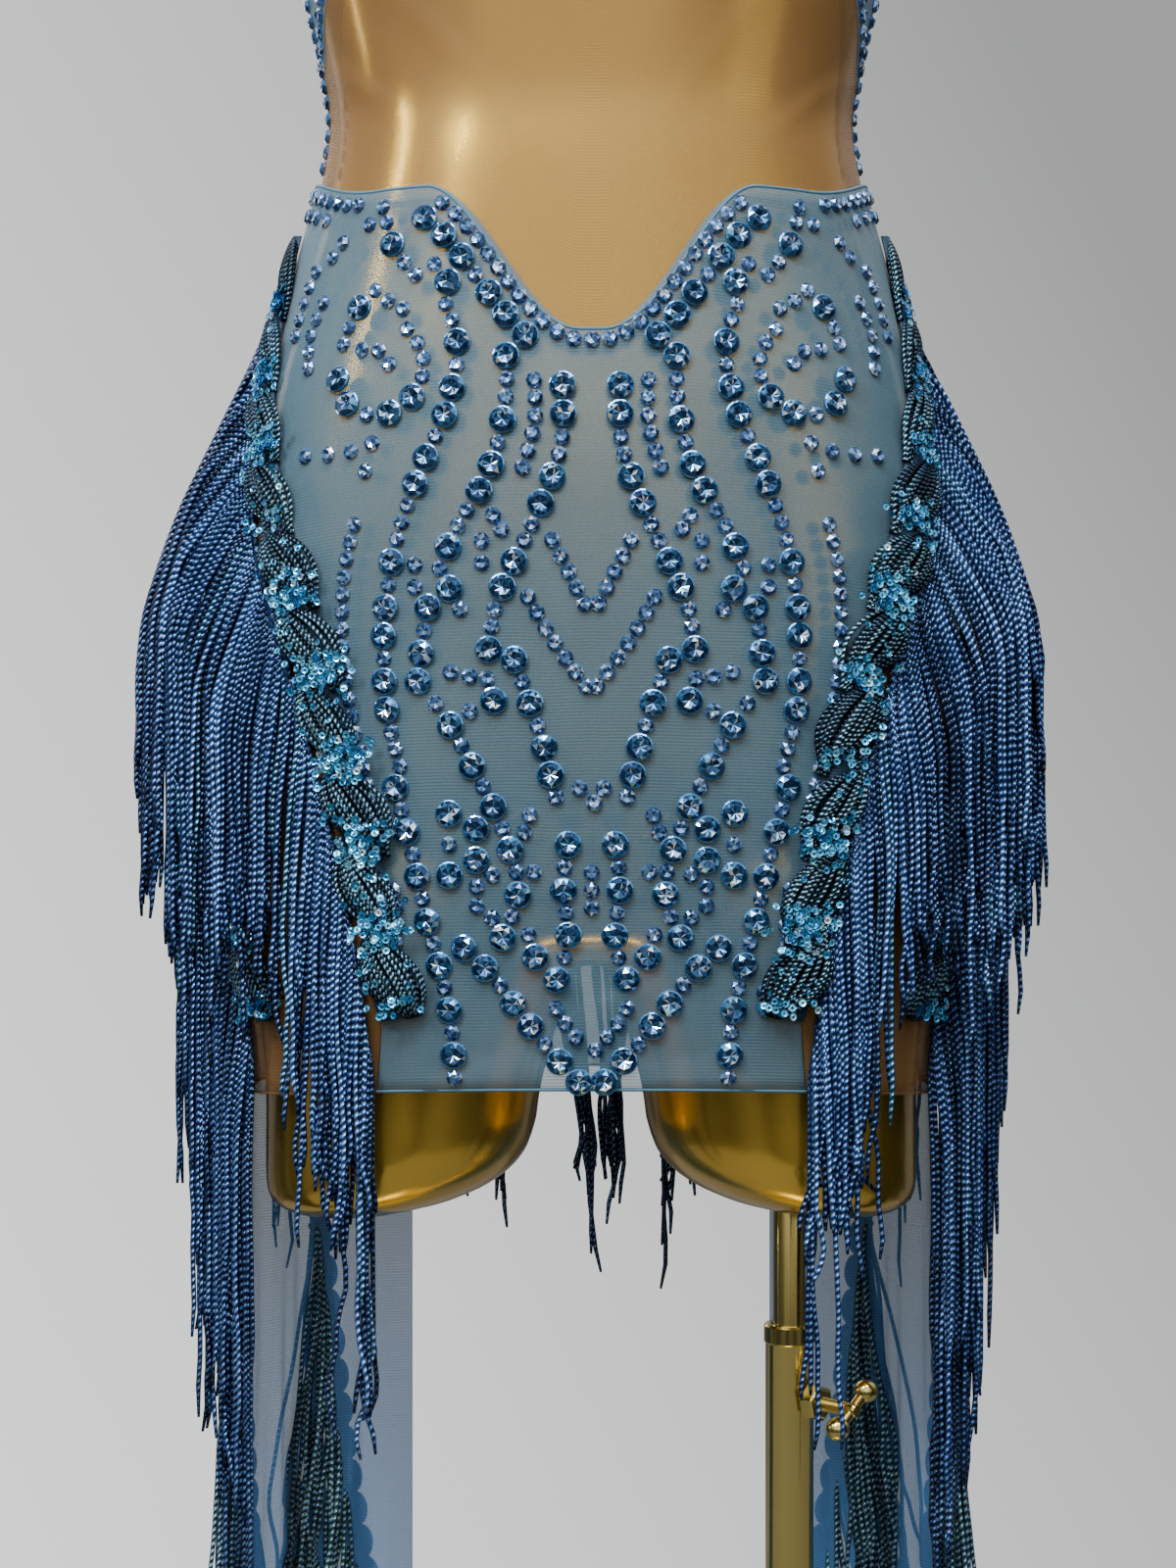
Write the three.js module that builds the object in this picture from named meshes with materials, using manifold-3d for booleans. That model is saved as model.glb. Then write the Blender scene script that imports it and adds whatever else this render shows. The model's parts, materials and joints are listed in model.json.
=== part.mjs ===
// A fringed stage dress on its gold torso form and telescopic stand.
// Millimetres, +Z up, the dress faces -Y. The origin is on the floor, below the form's centre line.
//
// Every sewn piece is a thin wall laid on one figure: bodyPoint(angle, z, out) gives the point of
// the figure at an angle round the body (0 is centre front, +90 the wearer's left, which is +X) and
// a height, moved out along the surface's normal. Trims, crystals and straps use the same points.

import * as THREE from 'three';
import { mergeVertices } from 'three/addons/utils/BufferGeometryUtils.js';
import Module from 'manifold-3d';

const wasm = await Module();
wasm.setup();

// ---------------------------------------------------------------- driving dimensions

const HEM = 660; // height of the skirt's hem at the sides
const HEM_RISE = 7; // the hem is this much higher at centre front
const WAIST_SEAM = 1067; // where the skirt is sewn to the bodice at the sides and back
const PEAK_X = 70; // the skirt's front edge rises to two peaks, this far from centre
const PEAK = 1054;
const V_POINT = 990; // and falls between them to the point of the V
const ARCH_TOP = 1212; // the nude waist panel ends in an arch below the bust
const ARCH_SIDE = 1100;
const NECK_CENTRE = 1296;
const NECK_STRAP = 1332; // the bodice's top edge where the straps leave it
const TOP_SIDE = 1300;
const SIDE_SEAM = 84; // angle of the bodice's side seams
const BACK_SEAM = 126; // angle of the skirt's back seams

const CLOTH = 1.2; // thickness of every cloth wall
const FORM_INSIDE = 2.5; // the form is this much inside the figure
const FORM_GAP = 1.5; // from the figure to the bodice
const BODICE = FORM_GAP; // inner face of the bodice and waist panel
const SKIRT = 3.9; // inner face of the skirt, which laps over the waist panel
const SKIRT_FACE = SKIRT + CLOTH;
const LAP = 8; // how far the waist panel and bodice run on under the skirt
const SEAM_ANGLE = 0.12; // half of the gap at an upright seam, in degrees
const SEAM_HEIGHT = 0.5; // the gap at a level seam
const TRIM = 6; // inner face of a fringe trim laid on the skirt
const TRAIN = 6; // inner face of a train where it is sewn to the skirt
const TRAIN_HEM = 80;
const TRAIN_FRONT = 103; // angles of a train's two edges
const TRAIN_BACK = 152;

const CRYSTAL_R = 5.8; // the large pointed-back crystals, 11.6 mm across
const CRYSTAL_HIGH = 3.6;
const CRYSTAL_SUNK = 1.05; // how far its seat reaches into the cloth
const CRYSTAL_PITCH = 12.6;
const SMALL_PITCH = 7.9; // the room that a small crystal takes in a row

const POLE_X = 91; // the stand's pole enters the wearer's left thigh
const POLE_TOP = 550;
const TUBE_R = 11;
const TUBE_BORE_R = 8;
const ROD_R = 7.4;
const ROD_LOW = 290;
const ROD_HIGH = 650;
const SOCKET_R = 7.9;
const SOCKET_HIGH = 652;
const BASE_X = 30;
const BASE_R = 175;
const BASE_HIGH = 8;
const SCREW_Z = 516;
const SCREW_AIM = 45; // the clamp screw's direction, an angle like the body's
const FIT = 0.3; // the gap between two hard pieces that touch

// ---------------------------------------------------------------- the figure

// One row for each level of the figure, from the hem up to the neck.
const FIGURE = [
  // z, halfWidth, front, back, square (2 is an ellipse, more is squarer)
  { z: 600, halfWidth: 149, front: 79, back: 82, square: 2.9 },
  { z: 660, halfWidth: 150, front: 81, back: 86, square: 2.9 },
  { z: 720, halfWidth: 155, front: 85, back: 97, square: 2.7 },
  { z: 780, halfWidth: 160, front: 89, back: 106, square: 2.5 },
  { z: 842, halfWidth: 163, front: 92, back: 110, square: 2.4 },
  { z: 900, halfWidth: 160, front: 94, back: 104, square: 2.35 },
  { z: 960, halfWidth: 149, front: 94, back: 92, square: 2.3 },
  { z: 1020, halfWidth: 133, front: 89, back: 80, square: 2.3 },
  { z: 1067, halfWidth: 121, front: 85, back: 74, square: 2.3 },
  { z: 1100, halfWidth: 117, front: 82, back: 73, square: 2.3 },
  { z: 1157, halfWidth: 128, front: 85, back: 78, square: 2.3 },
  { z: 1200, halfWidth: 137, front: 92, back: 84, square: 2.3 },
  { z: 1250, halfWidth: 143, front: 98, back: 89, square: 2.3 },
  { z: 1300, halfWidth: 148, front: 92, back: 91, square: 2.3 },
  { z: 1350, halfWidth: 160, front: 80, back: 88, square: 2.3 },
  { z: 1390, halfWidth: 166, front: 68, back: 80, square: 2.25 },
  { z: 1420, halfWidth: 148, front: 58, back: 68, square: 2.2 },
  { z: 1442, halfWidth: 98, front: 51, back: 57, square: 2.1 },
  { z: 1458, halfWidth: 62, front: 49, back: 52, square: 2 },
  { z: 1485, halfWidth: 53, front: 48, back: 50, square: 2 },
  { z: 1520, halfWidth: 52, front: 47, back: 49, square: 2 },
];
const BUST = { z: 1248, angle: 30, swell: 17, high: 40, wide: 19 };

// Each thigh of the form below the crotch: its outer and inner edge from the centre line, and its depth.
const THIGH = [
  { z: 800, outer: 146, inner: 10, front: 72, back: 84 },
  { z: 742, outer: 154, inner: 3, front: 77, back: 90 },
  { z: 700, outer: 152, inner: 12, front: 75, back: 83 },
  { z: 660, outer: 149, inner: 23, front: 72, back: 77 },
  { z: 636, outer: 149, inner: 27, front: 71, back: 75 },
  { z: 620, outer: 149, inner: 39, front: 67, back: 71 },
  { z: 609, outer: 148, inner: 62, front: 58, back: 62 },
  { z: 604, outer: 140, inner: 86, front: 42, back: 46 },
];
const CROTCH = [
  { z: 728, share: 0.9 },
  { z: 716, share: 0.62 },
];

const radians = THREE.MathUtils.degToRad;
const degrees = THREE.MathUtils.radToDeg;
const mix = THREE.MathUtils.lerp;
const ease = THREE.MathUtils.smoothstep; // (value, low, high) from 0 to 1
const signedPower = (value, power) => Math.sign(value) * Math.abs(value) ** power;

// A column of a table at a level, on a smooth curve through its rows, whichever way they run.
function column(table, name, key, at) {
  const rows = table[0][key] <= table[table.length - 1][key] ? table : [...table].reverse();
  const last = rows.length - 1;
  const held = THREE.MathUtils.clamp(at, rows[0][key], rows[last][key]);
  let i = 0;
  while (i < last - 1 && held > rows[i + 1][key]) i++;
  const slope = (k) => {
    const low = rows[Math.max(k - 1, 0)];
    const high = rows[Math.min(k + 1, last)];
    return (high[name] - low[name]) / (high[key] - low[key]);
  };
  const step = rows[i + 1][key] - rows[i][key];
  const t = (held - rows[i][key]) / step;
  const bend = (2 * t - 3) * t * t;
  return rows[i][name] * (1 + bend) - rows[i + 1][name] * bend
    + step * t * (1 - t) * (slope(i) * (1 - t) - slope(i + 1) * t);
}

function skinPoint(angle, z) {
  const level = (name) => column(FIGURE, name, 'z', z);
  const sine = Math.sin(radians(angle));
  const cosine = Math.cos(radians(angle));
  const round = 2 / level('square');
  const depth = cosine >= 0 ? level('front') : level('back');
  const fromBust = ((z - BUST.z) / BUST.high) ** 2 + ((Math.abs(angle) - BUST.angle) / BUST.wide) ** 2;
  const swell = cosine > 0 ? BUST.swell * Math.exp(-fromBust) : 0;
  return new THREE.Vector3(level('halfWidth') * signedPower(sine, round),
    -depth * signedPower(cosine, round) - swell, z);
}

// The surface's two directions and its outward normal, from small steps across it.
function skinFrame(angle, z) {
  const STEP = 0.5;
  const round = skinPoint(angle + STEP, z).sub(skinPoint(angle - STEP, z)).divideScalar(2 * STEP);
  const up = skinPoint(angle, z + STEP).sub(skinPoint(angle, z - STEP)).divideScalar(2 * STEP);
  return { round, up, normal: new THREE.Vector3().crossVectors(round, up).normalize() };
}

const bodyPoint = (angle, z, out = 0) =>
  skinPoint(angle, z).addScaledVector(skinFrame(angle, z).normal, out);

// The angle at which the figure is x from its centre line, on the front.
function angleAt(x, z) {
  const share = Math.min(Math.abs(x) / column(FIGURE, 'halfWidth', 'z', z), 1);
  return Math.sign(x) * degrees(Math.asin(share ** (column(FIGURE, 'square', 'z', z) / 2)));
}

// ---------------------------------------------------------------- solids

// A closed solid from points and faces; faces that all point inwards are turned round.
function solid(points, faces) {
  const geometry = new THREE.BufferGeometry().setFromPoints(points);
  geometry.setIndex(faces);
  return fromGeometry(geometry);
}

function fromGeometry(geometry) {
  const bare = geometry.clone();
  bare.deleteAttribute('normal');
  bare.deleteAttribute('uv');
  const merged = mergeVertices(bare, 1e-4);
  const vertProperties = new Float32Array(merged.attributes.position.array);
  const made = new wasm.Manifold(new wasm.Mesh({
    numProp: 3, vertProperties, triVerts: new Uint32Array(merged.index.array),
  }));
  if (made.volume() >= 0) return made;
  const turned = Uint32Array.from(merged.index.array);
  for (let i = 0; i < turned.length; i += 3) [turned[i], turned[i + 1]] = [turned[i + 1], turned[i]];
  return new wasm.Manifold(new wasm.Mesh({ numProp: 3, vertProperties, triVerts: turned }));
}

function toGeometry(body) {
  const { vertProperties, triVerts, numProp } = body.getMesh();
  const points = [];
  for (let i = 0; i < vertProperties.length; i += numProp) {
    points.push(new THREE.Vector3(...vertProperties.subarray(i, i + 3)));
  }
  const geometry = new THREE.BufferGeometry().setFromPoints(points);
  geometry.setIndex(Array.from(triVerts));
  geometry.computeVertexNormals();
  return geometry;
}

// Rings of points, one above the other, closed by a flat face at each end.
function loft(rings) {
  const sides = rings[0].length;
  const faces = [];
  for (let r = 0; r + 1 < rings.length; r++) {
    for (let i = 0; i < sides; i++) {
      const next = (i + 1) % sides;
      const [a, b, c, d] = [r * sides + i, r * sides + next, (r + 1) * sides + next, (r + 1) * sides + i];
      faces.push(a, b, c, a, c, d);
    }
  }
  const top = (rings.length - 1) * sides;
  for (let i = 1; i + 1 < sides; i++) faces.push(0, i + 1, i, top, top + i, top + i + 1);
  return solid(rings.flat(), faces);
}

// A sheet given by outer and inner points, both [row][column], closed round its rim.
function wall(outer, inner) {
  const rows = outer.length;
  const columns = outer[0].length;
  const out = (r, c) => r * columns + c;
  const inn = (r, c) => rows * columns + out(r, c);
  const faces = [];
  const quad = (a, b, c, d) => faces.push(a, b, c, a, c, d);
  for (let r = 0; r + 1 < rows; r++) {
    for (let c = 0; c + 1 < columns; c++) {
      quad(out(r, c), out(r, c + 1), out(r + 1, c + 1), out(r + 1, c));
      quad(inn(r, c), inn(r + 1, c), inn(r + 1, c + 1), inn(r, c + 1));
    }
    quad(out(r, 0), out(r + 1, 0), inn(r + 1, 0), inn(r, 0));
    quad(out(r + 1, columns - 1), out(r, columns - 1), inn(r, columns - 1), inn(r + 1, columns - 1));
  }
  for (let c = 0; c + 1 < columns; c++) {
    quad(out(0, c + 1), out(0, c), inn(0, c), inn(0, c + 1));
    quad(out(rows - 1, c), out(rows - 1, c + 1), inn(rows - 1, c + 1), inn(rows - 1, c));
  }
  return solid([...outer.flat(), ...inner.flat()], faces);
}

// A panel of cloth. left(z) and right(z) are the angles of its side edges, low(share) and
// high(share) the heights of its lower and upper edge at a share of its width.
function panel({ left, right, low, high, rows, columns, out }) {
  const grid = (away) => [...Array(rows + 1)].map((_, r) => [...Array(columns + 1)].map((__, c) => {
    const share = c / columns;
    const z = mix(low(share), high(share), r / rows);
    return bodyPoint(mix(left(z), right(z), share), z, away);
  }));
  return wall(grid(out + CLOTH), grid(out));
}

const gold = new THREE.MeshStandardMaterial({ color: 0xb0832c, roughness: 0.22, metalness: 1 });
const blueMesh = new THREE.MeshStandardMaterial({ color: 0x7fa3b5, roughness: 0.6, metalness: 0 });
const nudeMesh = new THREE.MeshStandardMaterial({ color: 0xc9a06c, roughness: 0.55, metalness: 0 });
const fringeCord = new THREE.MeshStandardMaterial({ color: 0x33598f, roughness: 0.4, metalness: 0 });

const dress = new THREE.Group();
function add(name, body, material) {
  const mesh = new THREE.Mesh(toGeometry(body), material);
  mesh.name = name;
  dress.add(mesh);
}

// ---------------------------------------------------------------- the form and its stand

const FORM_SIDES = 20;
const THIGH_SIDES = 12;

function torso() {
  const levels = [1520, 1485, 1464, 1450, 1436, 1420, 1395, 1360, 1320, 1285, 1248, 1210, 1160, 1110, 1070,
    1020, 960, 900, 842, 745];
  const ring = (z, share) => [...Array(FORM_SIDES)].map((_, i) => {
    const p = bodyPoint((360 * i) / FORM_SIDES - 180, z, -FORM_INSIDE);
    return new THREE.Vector3(p.x * share, p.y * share, z);
  });
  return loft([...levels.map((z) => ring(z, 1)), ...CROTCH.map((row) => ring(row.z, row.share))]);
}

function thigh(side) {
  return loft(THIGH.map((row) => [...Array(THIGH_SIDES)].map((_, i) => {
    const turn = (2 * Math.PI * i) / THIGH_SIDES;
    const middle = (row.outer + row.inner) / 2;
    const half = (row.outer - row.inner) / 2;
    const depth = Math.cos(turn) > 0 ? row.front : row.back;
    return new THREE.Vector3(side * (middle + half * Math.sin(turn)), -depth * Math.cos(turn), row.z);
  })));
}

// A round bar along +Z from low to high, placed at x and y.
function bar(radius, low, high, x, y, sides = 14) {
  const geometry = new THREE.CylinderGeometry(radius, radius, high - low, sides);
  geometry.rotateX(Math.PI / 2).translate(x, y, (low + high) / 2);
  return fromGeometry(geometry);
}

function form() {
  const socket = bar(SOCKET_R, THIGH[THIGH.length - 1].z - 5, SOCKET_HIGH, POLE_X, 0);
  return torso().add(thigh(1)).add(thigh(-1)).subtract(socket);
}

// A piece made along +X from the pole's centre is turned to the clamp screw's aim.
function aimed(body) {
  return body.rotate([0, 0, SCREW_AIM - 90]).translate([POLE_X, 0, SCREW_Z]);
}

function alongX(radius, low, high, sides) {
  const geometry = new THREE.CylinderGeometry(radius, radius, high - low, sides);
  geometry.rotateZ(-Math.PI / 2).translate((low + high) / 2, 0, 0);
  return fromGeometry(geometry);
}

const SCREW_R = 3.3;
const SCREW_HOLE_R = 3.8;
const NUT_R = 8.5;
const NUT_END = 20;
const HANDLE_AT = 37;
const HANDLE_R = 2.5;
const HANDLE_HALF = 12;
const BALL_R = 5.4;

function lathe(profile, sides, x) {
  const geometry = new THREE.LatheGeometry(profile.map(([r, z]) => new THREE.Vector2(r, z)), sides);
  geometry.rotateX(Math.PI / 2).translate(x, 0, 0);
  return fromGeometry(geometry);
}

function poleTube() {
  const FLANGE_R = 28;
  const flange = BASE_HIGH + FIT;
  const tube = lathe([[0, flange], [FLANGE_R, flange], [FLANGE_R, flange + 5], [TUBE_R + 4, flange + 12],
    [TUBE_R, flange + 14], [TUBE_R, POLE_TOP], [TUBE_BORE_R, POLE_TOP], [TUBE_BORE_R, flange + 14],
    [0, flange + 14]], 14, POLE_X);
  return tube.subtract(aimed(alongX(SCREW_HOLE_R, 0, TUBE_R + 5, 10)));
}

function clampNut() {
  return aimed(alongX(NUT_R, TUBE_R + FIT, NUT_END, 6).subtract(alongX(SCREW_HOLE_R, 0, NUT_END + 5, 10)));
}

function clampScrew() {
  const TURNED = 35; // the handle stands at this angle when the clamp is tight
  const handle = new THREE.CylinderGeometry(HANDLE_R, HANDLE_R, 2 * HANDLE_HALF, 6);
  const round = (end) => new THREE.SphereGeometry(BALL_R, 8, 6).translate(0, end * HANDLE_HALF, 0);
  const ball = (end) => fromGeometry(round(end));
  const cross = fromGeometry(handle).add(ball(1)).add(ball(-1)).rotate([TURNED, 0, 0]);
  return aimed(alongX(SCREW_R, ROD_R + FIT, HANDLE_AT, 8).add(cross.translate([HANDLE_AT, 0, 0])));
}

function basePlate() {
  const EDGE = 3;
  const profile = [[0, 0], [BASE_R - EDGE, 0], [BASE_R, EDGE], [BASE_R - EDGE, BASE_HIGH], [0, BASE_HIGH]];
  return lathe(profile, 40, BASE_X);
}

add('form_torso', form(), gold);
add('stand_rod', bar(ROD_R, ROD_LOW, ROD_HIGH, POLE_X, 0), gold);
add('stand_tube', poleTube(), gold);
add('stand_clamp_nut', clampNut(), gold);
add('stand_clamp_screw', clampScrew(), gold);
add('stand_base', basePlate(), gold);

// ---------------------------------------------------------------- the dress's cloth

// The seam between the skirt's front and side: an angle for each height. The first trim lies on it.
const FRONT_SEAM = [
  { z: 650, angle: 29.5 },
  { z: 707, angle: 28 },
  { z: 752, angle: 29.5 },
  { z: 797, angle: 32.7 },
  { z: 842, angle: 36.8 },
  { z: 887, angle: 45 },
  { z: 923, angle: 53.5 },
  { z: 964, angle: 64 },
  { z: 1006, angle: 72 },
  { z: 1042, angle: 79 },
  { z: 1067, angle: 84 },
];
const frontSeam = (z) => column(FRONT_SEAM, 'angle', 'z', z);
const hem = (angle) => HEM + HEM_RISE * Math.max(Math.cos(radians(angle)), 0) ** 2;

// The skirt's upper edge in front: level from the side seam to a peak, then down to the V.
function frontEdge(angle) {
  const x = Math.abs(bodyPoint(angle, PEAK).x);
  if (x < PEAK_X) return mix(V_POINT, PEAK, ease(x / PEAK_X, 0.06, 1));
  return mix(PEAK, WAIST_SEAM, ease(Math.abs(angle), 45, 85));
}
const arch = (angle) => mix(ARCH_SIDE, ARCH_TOP, Math.cos(radians((90 * angle) / SIDE_SEAM)) ** 0.8);
const neckline = (angle) => {
  const a = Math.abs(angle);
  const toStrap = mix(NECK_CENTRE, NECK_STRAP, ease(a, 0, 44));
  return mix(toStrap, TOP_SIDE, ease(a, 46, SIDE_SEAM));
};

const SKIRT_ROWS = 11;
const across = (half) => (share) => mix(-half, half, share);

function skirtFront() {
  const angleOf = across(frontSeam(WAIST_SEAM));
  const bare = panel({
    left: (z) => SEAM_ANGLE - frontSeam(z), right: (z) => frontSeam(z) - SEAM_ANGLE,
    low: (share) => hem(across(frontSeam(HEM))(share)), high: (share) => frontEdge(angleOf(share)),
    rows: SKIRT_ROWS, columns: 14, out: SKIRT,
  });
  return wasm.Manifold.union([bare, ...crystals()]);
}

function skirtSide(side) {
  const front = (z) => frontSeam(z) + SEAM_ANGLE;
  const low = (share) => hem(mix(frontSeam(HEM), BACK_SEAM, share));
  return panel({
    left: (z) => side * front(z), right: () => side * (BACK_SEAM - SEAM_ANGLE),
    low, high: () => WAIST_SEAM, rows: SKIRT_ROWS, columns: 5, out: SKIRT,
  });
}

const skirtBack = () => panel({
  left: () => BACK_SEAM + SEAM_ANGLE, right: () => 360 - BACK_SEAM - SEAM_ANGLE,
  low: () => HEM, high: () => WAIST_SEAM, rows: SKIRT_ROWS, columns: 8, out: SKIRT,
});

const BODICE_COLUMNS = 12;
const frontHalf = SIDE_SEAM - SEAM_ANGLE;
const waistPanel = () => panel({
  left: () => -frontHalf, right: () => frontHalf,
  low: (share) => frontEdge(across(frontHalf)(share)) - LAP, high: (share) => arch(across(frontHalf)(share)),
  rows: 6, columns: BODICE_COLUMNS, out: BODICE,
});
const bodiceFront = () => panel({
  left: () => -frontHalf, right: () => frontHalf,
  low: (share) => arch(across(frontHalf)(share)) + SEAM_HEIGHT,
  high: (share) => neckline(across(frontHalf)(share)),
  rows: 6, columns: BODICE_COLUMNS, out: BODICE,
});
const bodiceBack = () => panel({
  left: () => SIDE_SEAM + SEAM_ANGLE, right: () => 360 - SIDE_SEAM - SEAM_ANGLE,
  low: () => WAIST_SEAM - LAP, high: () => TOP_SIDE, rows: 8, columns: 10, out: BODICE,
});

// A shoulder strap: over the form from the bodice's front edge to its back edge.
const STRAP_X = 92;
const STRAP_HALF = 6;
const STRAP_CLEAR = 2.8;
const STRAP_LEVELS = [1334, 1360, 1385, 1408, 1425, 1436];
const BACK_LEVELS = [1436, 1425, 1408, 1380, 1345, 1302];
const STRAP_TOP = 1447;

function strap(side) {
  const TOP_Y = 2; // the shoulder's crest, and how much lower its outer edge lies
  const SLOPE = 2;
  const edge = (share) => side * mix(STRAP_X - STRAP_HALF, STRAP_X + STRAP_HALF, share);
  const over = (share, z, toBack) => {
    const front = angleAt(edge(share), z);
    return toBack ? side * 180 - front : front;
  };
  const crest = (share, out) => new THREE.Vector3(edge(share), TOP_Y, STRAP_TOP + out - SLOPE * share);
  const rows = (out) => [
    ...STRAP_LEVELS.map((z) => [0, 1].map((share) => bodyPoint(over(share, z, false), z, out))),
    [0, 1].map((share) => crest(share, out)),
    ...BACK_LEVELS.map((z) => [0, 1].map((share) => bodyPoint(over(share, z, true), z, out))),
  ];
  return wall(rows(STRAP_CLEAR + CLOTH), rows(STRAP_CLEAR));
}

// ---------------------------------------------------------------- large crystals

// Rows of crystals on the skirt's front, for one half of it and mirrored for the other. x is from the
// centre line and up from the hem; L is a large crystal and s the room of a small one.
const CRYSTAL_ROWS = [
  { beads: 'Ls', points: [[4, 329], [16, 334], [27, 344], [38, 361], [50, 378], [66, 386]] },
  { beads: 'L', points: [[73, 381], [86, 372], [95, 356]] },
  { beads: 'ssssLsLss', points: [[36, 336], [36, 305], [43, 272], [57, 245], [68, 215], [73, 180]] },
  {
    beads: 'sssLsLssLs',
    points: [[62, 352], [56, 330], [60, 300], [71, 272], [82, 240], [87, 205], [86, 170]],
  },
  { beads: 'Lss', points: [[12, 312], [13, 280], [24, 250], [40, 214], [44, 190]] },
  { beads: 'LsLsss', points: [[44, 226], [33, 192], [22, 160], [14, 128]] },
  { beads: 'Lss', points: [[62, 168], [50, 145], [38, 120], [31, 92], [40, 66]] },
  { beads: 'LsLs', points: [[9, 118], [12, 96], [10, 70], [16, 52]] },
  { beads: 'Lss', points: [[58, 72], [42, 56], [30, 40], [16, 22], [5, 10]] },
  { beads: 'LsLs', points: [[84, 142], [76, 110], [69, 78], [60, 40], [58, 12]] },
];
const SCROLL = { x: 92, up: 313, inner: 7, outer: 26, turns: 1.15, beads: 'ssssLLsLLs' };
const ROSETTE = { x: 60, up: 112, ring: 13.2, petals: 6 };

// Places along a line for a repeated run of beads: the middle of each, and whether it is large.
function strung(points, beads) {
  const curve = new THREE.CatmullRomCurve3(points.map(([x, up]) => new THREE.Vector3(x, up, 0)));
  const length = curve.getLength();
  const places = [];
  let along = 0;
  for (let i = 0; ; i++) {
    const large = beads[i % beads.length] === 'L';
    const room = large ? CRYSTAL_PITCH : SMALL_PITCH;
    if (along + room / 2 > length) return places;
    const at = curve.getPointAt((along + room / 2) / length);
    places.push({ x: at.x, up: at.y, large });
    along += room;
  }
}

function scrollPoints() {
  const STEPS = 12;
  return [...Array(STEPS + 1)].map((_, i) => {
    const share = i / STEPS;
    const turn = 2 * Math.PI * SCROLL.turns * share;
    const radius = mix(SCROLL.inner, SCROLL.outer, share);
    return [SCROLL.x - radius * Math.cos(turn), SCROLL.up + radius * Math.sin(turn)];
  });
}

function crystalPlaces() {
  const places = CRYSTAL_ROWS.flatMap((row) => strung(row.points, row.beads));
  places.push(...strung(scrollPoints(), SCROLL.beads));
  for (let i = 0; i < ROSETTE.petals; i++) {
    const turn = (2 * Math.PI * (i + 0.5)) / ROSETTE.petals;
    const x = ROSETTE.x + ROSETTE.ring * Math.cos(turn);
    const up = ROSETTE.up + ROSETTE.ring * Math.sin(turn);
    places.push({ x, up, large: true });
  }
  return places.filter((place) => place.large);
}

// A five-sided stone with a flat table, standing on the skirt with its seat sunk in the cloth.
function crystal(x, z) {
  const SIDES = 5;
  const TABLE = 0.55; // the table's share of the stone's radius
  const angle = angleAt(x, z);
  const { normal } = skinFrame(angle, z);
  const flat = new THREE.Vector3(0, 0, 1).cross(normal).normalize();
  const upright = new THREE.Vector3().crossVectors(normal, flat);
  const seat = skinPoint(angle, z).addScaledVector(normal, SKIRT_FACE - CRYSTAL_SUNK);
  const ring = (radius, high) => [...Array(SIDES)].map((_, i) => {
    const turn = (2 * Math.PI * i) / SIDES;
    return seat.clone().addScaledVector(normal, high)
      .addScaledVector(flat, radius * Math.cos(turn)).addScaledVector(upright, radius * Math.sin(turn));
  });
  return loft([ring(CRYSTAL_R, 0), ring(CRYSTAL_R * TABLE, CRYSTAL_SUNK + CRYSTAL_HIGH)]);
}

// Where two rows meet, the stone of the later row gives way.
function crystals() {
  const NEAREST = CRYSTAL_PITCH - 0.8;
  const kept = [];
  for (const { x, up } of crystalPlaces()) {
    const clear = (other) => Math.hypot(other.x - x, other.up - up) >= NEAREST;
    if (kept.every(clear)) kept.push({ x, up });
  }
  return kept.flatMap(({ x, up }) => [1, -1].map((side) => crystal(side * x, HEM + up)));
}

add('skirt_front', skirtFront(), blueMesh);
add('skirt_side_left', skirtSide(1), nudeMesh);
add('skirt_side_right', skirtSide(-1), nudeMesh);
add('skirt_back', skirtBack(), blueMesh);
add('waist_panel', waistPanel(), nudeMesh);
add('bodice_front', bodiceFront(), blueMesh);
add('bodice_back', bodiceBack(), blueMesh);
add('strap_left', strap(1), blueMesh);
add('strap_right', strap(-1), blueMesh);

// ---------------------------------------------------------------- trains

// A train is a long sheer panel sewn below the hip and hanging clear of the legs. share runs from its
// front edge to its back edge.
const trainTop = (share) => mix(768, 866, share);
const trainAngle = (share) => mix(TRAIN_FRONT, TRAIN_BACK, share);
const TRAIN_FOLDS = 3;
const HIP = 842; // the figure's fullest level

// How far the folds stand out at a share of the width and a height.
const foldDepth = (share, z) => 3 * ease(trainTop(share) - z, 20, 160) + 12 * ease(-z, -540, -100);

// A point beside the train. Below the hip the cloth hangs straight from the fullest level it passed.
function trainSide(side, share, z, out) {
  const p = bodyPoint(side * trainAngle(share), Math.max(z, Math.min(trainTop(share), HIP)), out);
  return new THREE.Vector3(p.x, p.y, z);
}

function trainPoint(side, share, z, out) {
  const fold = (1 - Math.cos(2 * Math.PI * TRAIN_FOLDS * share)) / 2;
  return trainSide(side, share, z, out + foldDepth(share, z) * fold);
}

function train(side) {
  const ROWS = 7;
  const COLUMNS = 12;
  const grid = (out) => [...Array(ROWS + 1)].map((_, r) => [...Array(COLUMNS + 1)].map((__, c) => {
    const share = c / COLUMNS;
    return trainPoint(side, share, mix(TRAIN_HEM, trainTop(share), (r / ROWS) ** 0.8), out);
  }));
  return wall(grid(TRAIN + CLOTH), grid(TRAIN));
}

add('train_left', train(1), blueMesh);
add('train_right', train(-1), blueMesh);

// ---------------------------------------------------------------- fringe

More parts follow.
